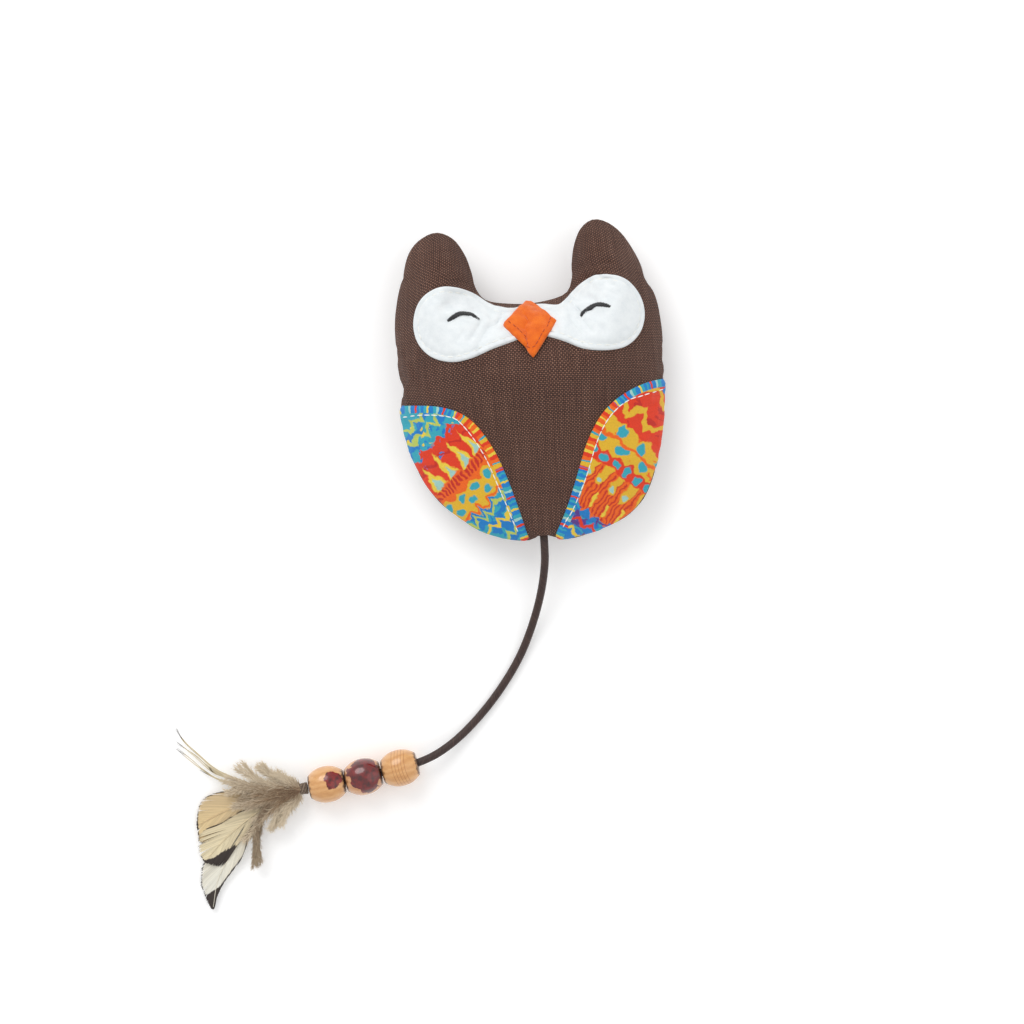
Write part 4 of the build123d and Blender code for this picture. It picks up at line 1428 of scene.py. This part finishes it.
BEADS = {
    "upper": ((-60.951, -140.948, 6.9), (-0.98543, -0.17007, 0.0)),
    "middle": ((-74.970, -143.207, 6.9), (-0.98899, -0.14800, 0.0)),
    "lower": ((-88.957, -144.958, 6.9), (-0.99499, -0.10000, 0.0)),
}


def bead_profile():
    """Barrel with rounded rims and a straight bore."""
    half = BEAD_HALF_LENGTH
    outer = []
    for along in np.linspace(-half + 0.5, half - 0.5, 25):
        outer.append((BEAD_RADIUS - 2.75 * (abs(along) / half) ** 2.3, along))
    end = outer[-1][0]
    top = [(end - 0.25, half - 0.15), (end - 0.6, half), (3.0, half), (2.5, half - 0.1), (2.2, half - 0.5)]
    bottom = [(radius, -along) for radius, along in reversed(top)]
    return outer + top + bottom


def make_beads():
    """Three barrel beads: one with turned rings, one lacquered red, one with a red blot."""
    wood = (srgb(196, 138, 84), srgb(214, 158, 100), srgb(226, 176, 120))
    red_wood = (srgb(190, 130, 82), srgb(206, 148, 98), srgb(220, 168, 118))
    lacquer = ((0.6, -2.4, -0.4), 8.6, srgb(122, 16, 16))
    red_blot = ((2.0, -6.0, -3.0), 5.4, srgb(140, 30, 26))
    woods = {
        "upper": wood_material("plain_wood", wood, 0.5, rings=(-3.2, 2.6), end_darkening=0.8),
        "middle": wood_material("red_lacquered_wood", red_wood, 0.9, lacquer, end_darkening=0.9),
        "lower": wood_material("blotted_wood", wood, 0.6, red_blot, end_darkening=0.9),
    }
    beads = []
    for name, (centre, axis) in BEADS.items():
        bead = turned(name + "_wooden_bead", bead_profile(), centre, axis)
        finish_piece(bead, woods[name], name + "_bead_body", [name + "_bead"])
        beads.append(bead)
    return beads


def make_binding():
    """Dark and light thread wound round the quills."""
    profile = []
    for step in range(49):
        along = step / 48 * 4.0
        bulge = 0.22 * abs(math.sin(along / 4.0 * math.pi * 7))
        profile.append((2.15 + bulge - 0.1 * along, along))
    profile += [(1.2, 4.2), (0.2, 4.3), (0.2, -0.1), (1.8, -0.1)]
    material, s, put = new_material("binding_thread", Roughness=0.8)
    place = s.node("ShaderNodeAttribute", attribute_name="bead_place").outputs["Vector"]
    _, _, along = s.split(place)
    band = s.math("SINE", s.math("MULTIPLY", along, 11.0))
    fray = s.noise(place, 3.0, 3.0)
    colour = s.ramp(s.math("MULTIPLY_ADD", band, 0.3, fray),
                    [(0.35, srgb(44, 32, 28)), (0.55, srgb(96, 74, 60)), (0.8, srgb(178, 158, 136))])
    s.put(put["Base Color"], colour)
    s.put(put["Normal"], s.bump(fray, 0.4, 0.0002))
    binding = turned("wound_binding", profile, (-96.4, -145.73, 6.9), (-0.99499, -0.1, 0.0), 40)
    finish_piece(binding, material, "tail", ["quill_binding"])
    return binding


# Body and what is sewn on it

def make_body(front, back):
    """Front and back canvas over the filling."""
    canvas = canvas_material()
    for name, panel, node, flip in (
        ("front_canvas", front, ["front_panel", "stuffing"], False),
        ("back_canvas", back, ["back_panel"], True),
    ):
        faces = panel.triangles[:, ::-1] if flip else panel.triangles
        piece = mesh_object(name, panel.points, faces, {"flat": panel.flat})
        finish_piece(piece, canvas, "owl", node)


def wing_piece(front, side, painter):
    """One printed wing with its hem turned under, sewn in at the body's seam."""
    edge = WING_EDGES[side]
    outline = wing_outline(front, edge)
    points, flat, triangles = rounded_layer(front, outline, 0.75, 0.12, 0.75, 0.9, (0.2, 0.5), 0.12, 2)
    plan_edge = smooth_line(edge, 1.0)
    across, along = distance_to(points[:, :2], plan_edge)
    piece = mesh_object(
        side + "_printed_wing", points, triangles,
        {"plan": points[:, :2], "flat": flat, "hem": np.c_[along, across]},
    )
    cotton = printed_material(side + "_printed_cotton", painter)
    finish_piece(piece, cotton, "owl", [side + "_wing"])


def felt_piece(front, name, plan, lift, thickness, material, nodes, spacing=0.8, groove=None):
    """A piece of felt with rounded edges, sewn flat on the front."""
    outline = plan_to_flat(front, smooth_line(plan, 0.9, closed=True))
    points, flat, triangles = rounded_layer(
        front, outline, spacing, lift, thickness, 0.7, (0.15, 0.4, 0.9, 1.6, 2.0, 2.4, 3.0), 0.08, 5, groove
    )
    piece = mesh_object(name, points, triangles, {"flat": flat})
    finish_piece(piece, material, "owl", nodes)


WING_STITCHES = {
    "left": [
        (-47.6, -9.0), (-41.0, -8.9), (-34.8, -9.7), (-29.6, -11.2), (-26.0, -15.0), (-22.4, -20.6),
        (-19.2, -27.0), (-16.8, -33.6), (-14.6, -40.0), (-12.2, -47.0), (-9.8, -54.0),
    ],
    "right": [
        (47.4, -6.4), (41.0, -8.0), (36.0, -9.2), (31.6, -11.6), (27.6, -15.4), (24.2, -20.4),
        (21.2, -27.0), (18.4, -34.4), (15.4, -41.0), (11.6, -48.2), (7.6, -54.0),
    ],
}
BEAK_STITCHES = [(-6.4, 21.6), (-2.4, 16.8), (1.4, 12.0), (5.2, 16.6), (9.0, 21.8)]


def inset_plan(plan, distance):
    """A closed plan drawn in by a distance."""
    outline = smooth_line(plan, 1.0, closed=True)
    return (outline + inward(outline) * distance)[::3]


def make_stitching(front):
    """Every row of thread that shows: wings, mask, beak and closed eyes."""
    white = yarn_material("white_thread", srgb(228, 228, 222), srgb(250, 250, 246))
    orange = yarn_material("orange_thread", srgb(166, 62, 6), srgb(196, 80, 12))
    black = yarn_material("dark_thread", srgb(12, 12, 14), srgb(38, 36, 40), 0.45, 9.0)
    for side, line in WING_STITCHES.items():
        places, headings, _ = along_line(front, line, 2.6, 0.86)
        stitch_row(side + "_wing_stitches", places, headings, 2.5, 0.42, white,
                   replaced=[side + "_wing_topstitch"], seed=3)
    beak = np.array(BEAK_OUTLINE)

    def under_beak(point):
        near = distance_to(point[None], beak, closed=True)[0][0]
        return bool(inside(point[None], beak)[0]) or near < 1.2

    places, headings, _ = along_line(front, inset_plan(MASK_OUTLINE, 2.0), 2.9, 0.95, True, under_beak)
    stitch_row("mask_stitches", places, headings, 2.4, 0.42, white, replaced=["mask_stitching"], seed=5)
    places, headings, _ = along_line(front, BEAK_STITCHES, 1.7, 2.3)
    stitch_row("beak_stitches", places, headings, 1.7, 0.4, orange, replaced=["beak_stitching"],
               seed=7)
    for side, arc in EYE_ARCS.items():
        places, ahead, normals = along_line(front, arc, 0.28, 1.3)
        across = np.cross(normals, ahead)
        slant = across + 0.25 * ahead
        share = np.linspace(0, math.pi, len(places))
        stitch_row(side + "_closed_eye", places, slant, 2.3, 0.55, black, replaced=[side + "_eye"],
                   seed=11, sizes=0.55 + 0.45 * np.sin(share))


UPPER_TAN = [
    (-106.0, -145.5), (-116.0, -144.6), (-124.0, -144.8), (-130.0, -145.0), (-134.0, -145.9),
    (-137.0, -147.6), (-138.7, -150.6), (-139.5, -155.0), (-139.5, -160.0), (-139.0, -164.0),
    (-133.0, -163.0), (-124.0, -158.0), (-114.0, -151.0), (-106.0, -147.6),
]
LOWER_TAN = [
    (-106.0, -147.8), (-112.0, -149.6), (-118.0, -151.6), (-124.0, -153.4), (-131.0, -157.0),
    (-138.4, -159.6), (-139.6, -164.5), (-139.4, -168.0), (-137.6, -171.0), (-134.6, -172.6),
    (-131.4, -173.6), (-128.4, -172.0), (-125.4, -169.0), (-121.6, -163.0), (-117.0, -157.0),
    (-110.0, -151.4),
]
WHITE_TIPPED = [
    (-106.0, -148.6), (-114.0, -155.4), (-120.0, -163.0), (-122.6, -169.6), (-127.0, -174.8),
    (-131.0, -179.4), (-134.0, -184.0), (-136.0, -189.2), (-138.5, -185.0), (-140.0, -180.0),
    (-139.7, -175.6), (-138.0, -171.0), (-131.0, -165.0), (-122.0, -157.0), (-112.0, -150.4),
]
TIP_INK = [(-139.6, -183.4), (-137.4, -183.4), (-131.8, -180.0), (-134.0, -192.0), (-140.0, -192.0)]
SPLIT_INK = [
    (-138.6, -170.4), (-134.0, -169.6), (-129.4, -166.8), (-125.8, -165.4), (-122.0, -170.0),
    (-133.0, -178.0),
]


def make_feathers():
    """The loose barbs, the three bladed feathers and the down, from the lowest up."""
    dark = srgb(52, 42, 36)
    tan = feather_material("tan_barbs", srgb(196, 172, 134), srgb(216, 190, 142), dark, 0.55)
    light_tan = feather_material("light_tan_barbs", srgb(206, 190, 156), srgb(222, 208, 172), dark, 0.42)
    white = feather_material("white_barbs", srgb(220, 212, 192), srgb(234, 232, 220), dark, 0.7)
    wisp = down_material(
        "wisp_barbs", [(0.0, srgb(206, 192, 160)), (0.25, srgb(196, 178, 142)), (0.6, srgb(66, 56, 48))]
    )
    down = down_material(
        "down_barbs", [(0.14, srgb(106, 80, 58)), (0.44, srgb(152, 126, 98)), (0.9, srgb(212, 196, 170))]
    )
    droop = down_material("drooping_barbs", [(0.2, srgb(126, 104, 82)), (0.9, srgb(176, 158, 132))])
    root = (-99.0, -146.1)

    def add(piece, material, node):
        finish_piece(piece, material, "tuft", [node])

    add(strands("wisp_barb_feather", [
        ([root, (-112, -145), (-122, -141), (-131, -136), (-138, -129.5), (-142.5, -124.5),
          (-144.7, -119.8)], 0.86),
        ([root, (-112, -145.4), (-122, -142), (-131, -137.4), (-138, -131), (-144.7, -124.9)], 0.9),
        ([root, (-112, -145.8), (-124, -143), (-133, -138.4), (-140, -132), (-145.2, -127.3)], 0.88),
        ([root, (-114, -145), (-125, -141.6), (-131, -139.6), (-136.6, -135.9)], 0.84),
        ([root, (-114, -145), (-124, -140.6), (-131.0, -138), (-133.6, -135.5)], 0.88),
    ], 21), wisp, "wisp_feather")
    tipped_spine = [root, (-109, -151.4), (-119, -160), (-128, -169.6), (-133.4, -178.6), (-136, -188.6)]
    upper_spine = [root, (-108, -146.8), (-118, -149), (-129, -152.6), (-139, -157)]
    lower_spine = [root, (-106, -148.6), (-115, -153), (-124, -158.8), (-131, -164.4), (-137, -170.4)]
    add(vane("tipped_quill_feather", 1, tipped_spine, WHITE_TIPPED, 0.12, 22, 0.5, [TIP_INK]),
        white, "tipped_feather")
    add(vane("upper_tan_quill_feather", 2, upper_spine, UPPER_TAN, 0.15, 23, 0.62),
        tan, "tan_feather_upper")
    add(vane("lower_tan_quill_feather", 3, lower_spine, LOWER_TAN, 0.15, 24, 0.55, [SPLIT_INK], ragged=0.07),
        light_tan, "tan_feather_lower")
    add(fluff("drooping_down_fluff", [
        ([root, (-108, -148.6), (-113, -152.5), (-116.4, -158), (-117.6, -163), (-118.2, -171)], -0.12),
        ([root, (-109, -149), (-114, -154.5), (-117, -161), (-117.6, -167), (-119, -173.6)], -0.12),
        ([root, (-109, -149), (-114, -154.5), (-116.6, -161), (-117.2, -167), (-117.2, -173.2)], -0.12),
    ], 420, 3.4, 25, 0.7, 4), droop, "drooping_down")
    add(fluff("lower_down_fluff", [
        ([root, (-105, -148.4), (-112, -150), (-120, -151.6)], 0.0),
        ([root, (-105, -149), (-111, -152.4), (-117, -157)], 0.05),
        ([root, (-103, -149.4), (-107, -153.4), (-111, -160)], 0.3),
        ([root, (-101, -149.2), (-104, -153), (-108, -158)], 0.42),
        ([root, (-106, -149.6), (-112, -153.6), (-121, -163)], 0.1),
        ([root, (-107, -148), (-114, -149.4), (-124, -150.4)], 0.0),
        ([root, (-104, -147.8), (-109, -149.2), (-113, -150)], -0.3),
        ([root, (-104, -147.2), (-109, -148.2), (-114, -149)], -0.3),
    ], 380, 5.2, 26, 0.9, 3), down, "lower_down")
    add(fluff("upper_down_fluff", [
        ([root, (-106, -146.2), (-114, -145.6), (-123, -143.4)], -0.05),
        ([root, (-106, -146.8), (-113, -148), (-121, -147.6)], -0.08),
        ([root, (-108, -145.6), (-117, -143.2), (-128, -140.4)], 0.12),
        ([root, (-106, -144.6), (-114, -141.6), (-121, -136)], 0.34),
        ([root, (-104, -144), (-109, -141), (-113.6, -136.6)], 0.42),
        ([root, (-102, -143.8), (-105, -141.6), (-108, -139.6)], 0.42),
        ([root, (-107, -145.4), (-117, -144.6), (-126, -144.4)], 0.05),
        ([root, (-104, -146), (-109, -146.4), (-113, -147)], -0.3),
        ([root, (-105, -146.6), (-111, -146.8), (-117, -145.6)], -0.25),
    ], 380, 5.2, 27, 0.9, 3), down, "upper_down")


# Assembly

make_camera()
cord, cord_path = make_cord()
beads = make_beads()
binding = make_binding()
front_panel, back_panel = make_panels()
make_body(front_panel, back_panel)
wing_piece(front_panel, "left", left_print)
wing_piece(front_panel, "right", right_print)
white_felt = felt_material("white_felt", srgb(218, 224, 227), srgb(228, 233, 235), srgb(237, 241, 242))
orange_felt = felt_material("orange_felt", srgb(206, 84, 8), srgb(226, 100, 12), srgb(238, 120, 26))
felt_piece(front_panel, "felt_eye_mask", MASK_OUTLINE, 0.05, 1.15, white_felt, ["eye_mask"],
           groove=(2.0, 0.45, 0.5))
felt_piece(front_panel, "felt_beak", BEAK_PLAN, 1.05, 1.2, orange_felt, ["beak"], 0.6)
make_stitching(front_panel)
make_feathers()
make_stage()
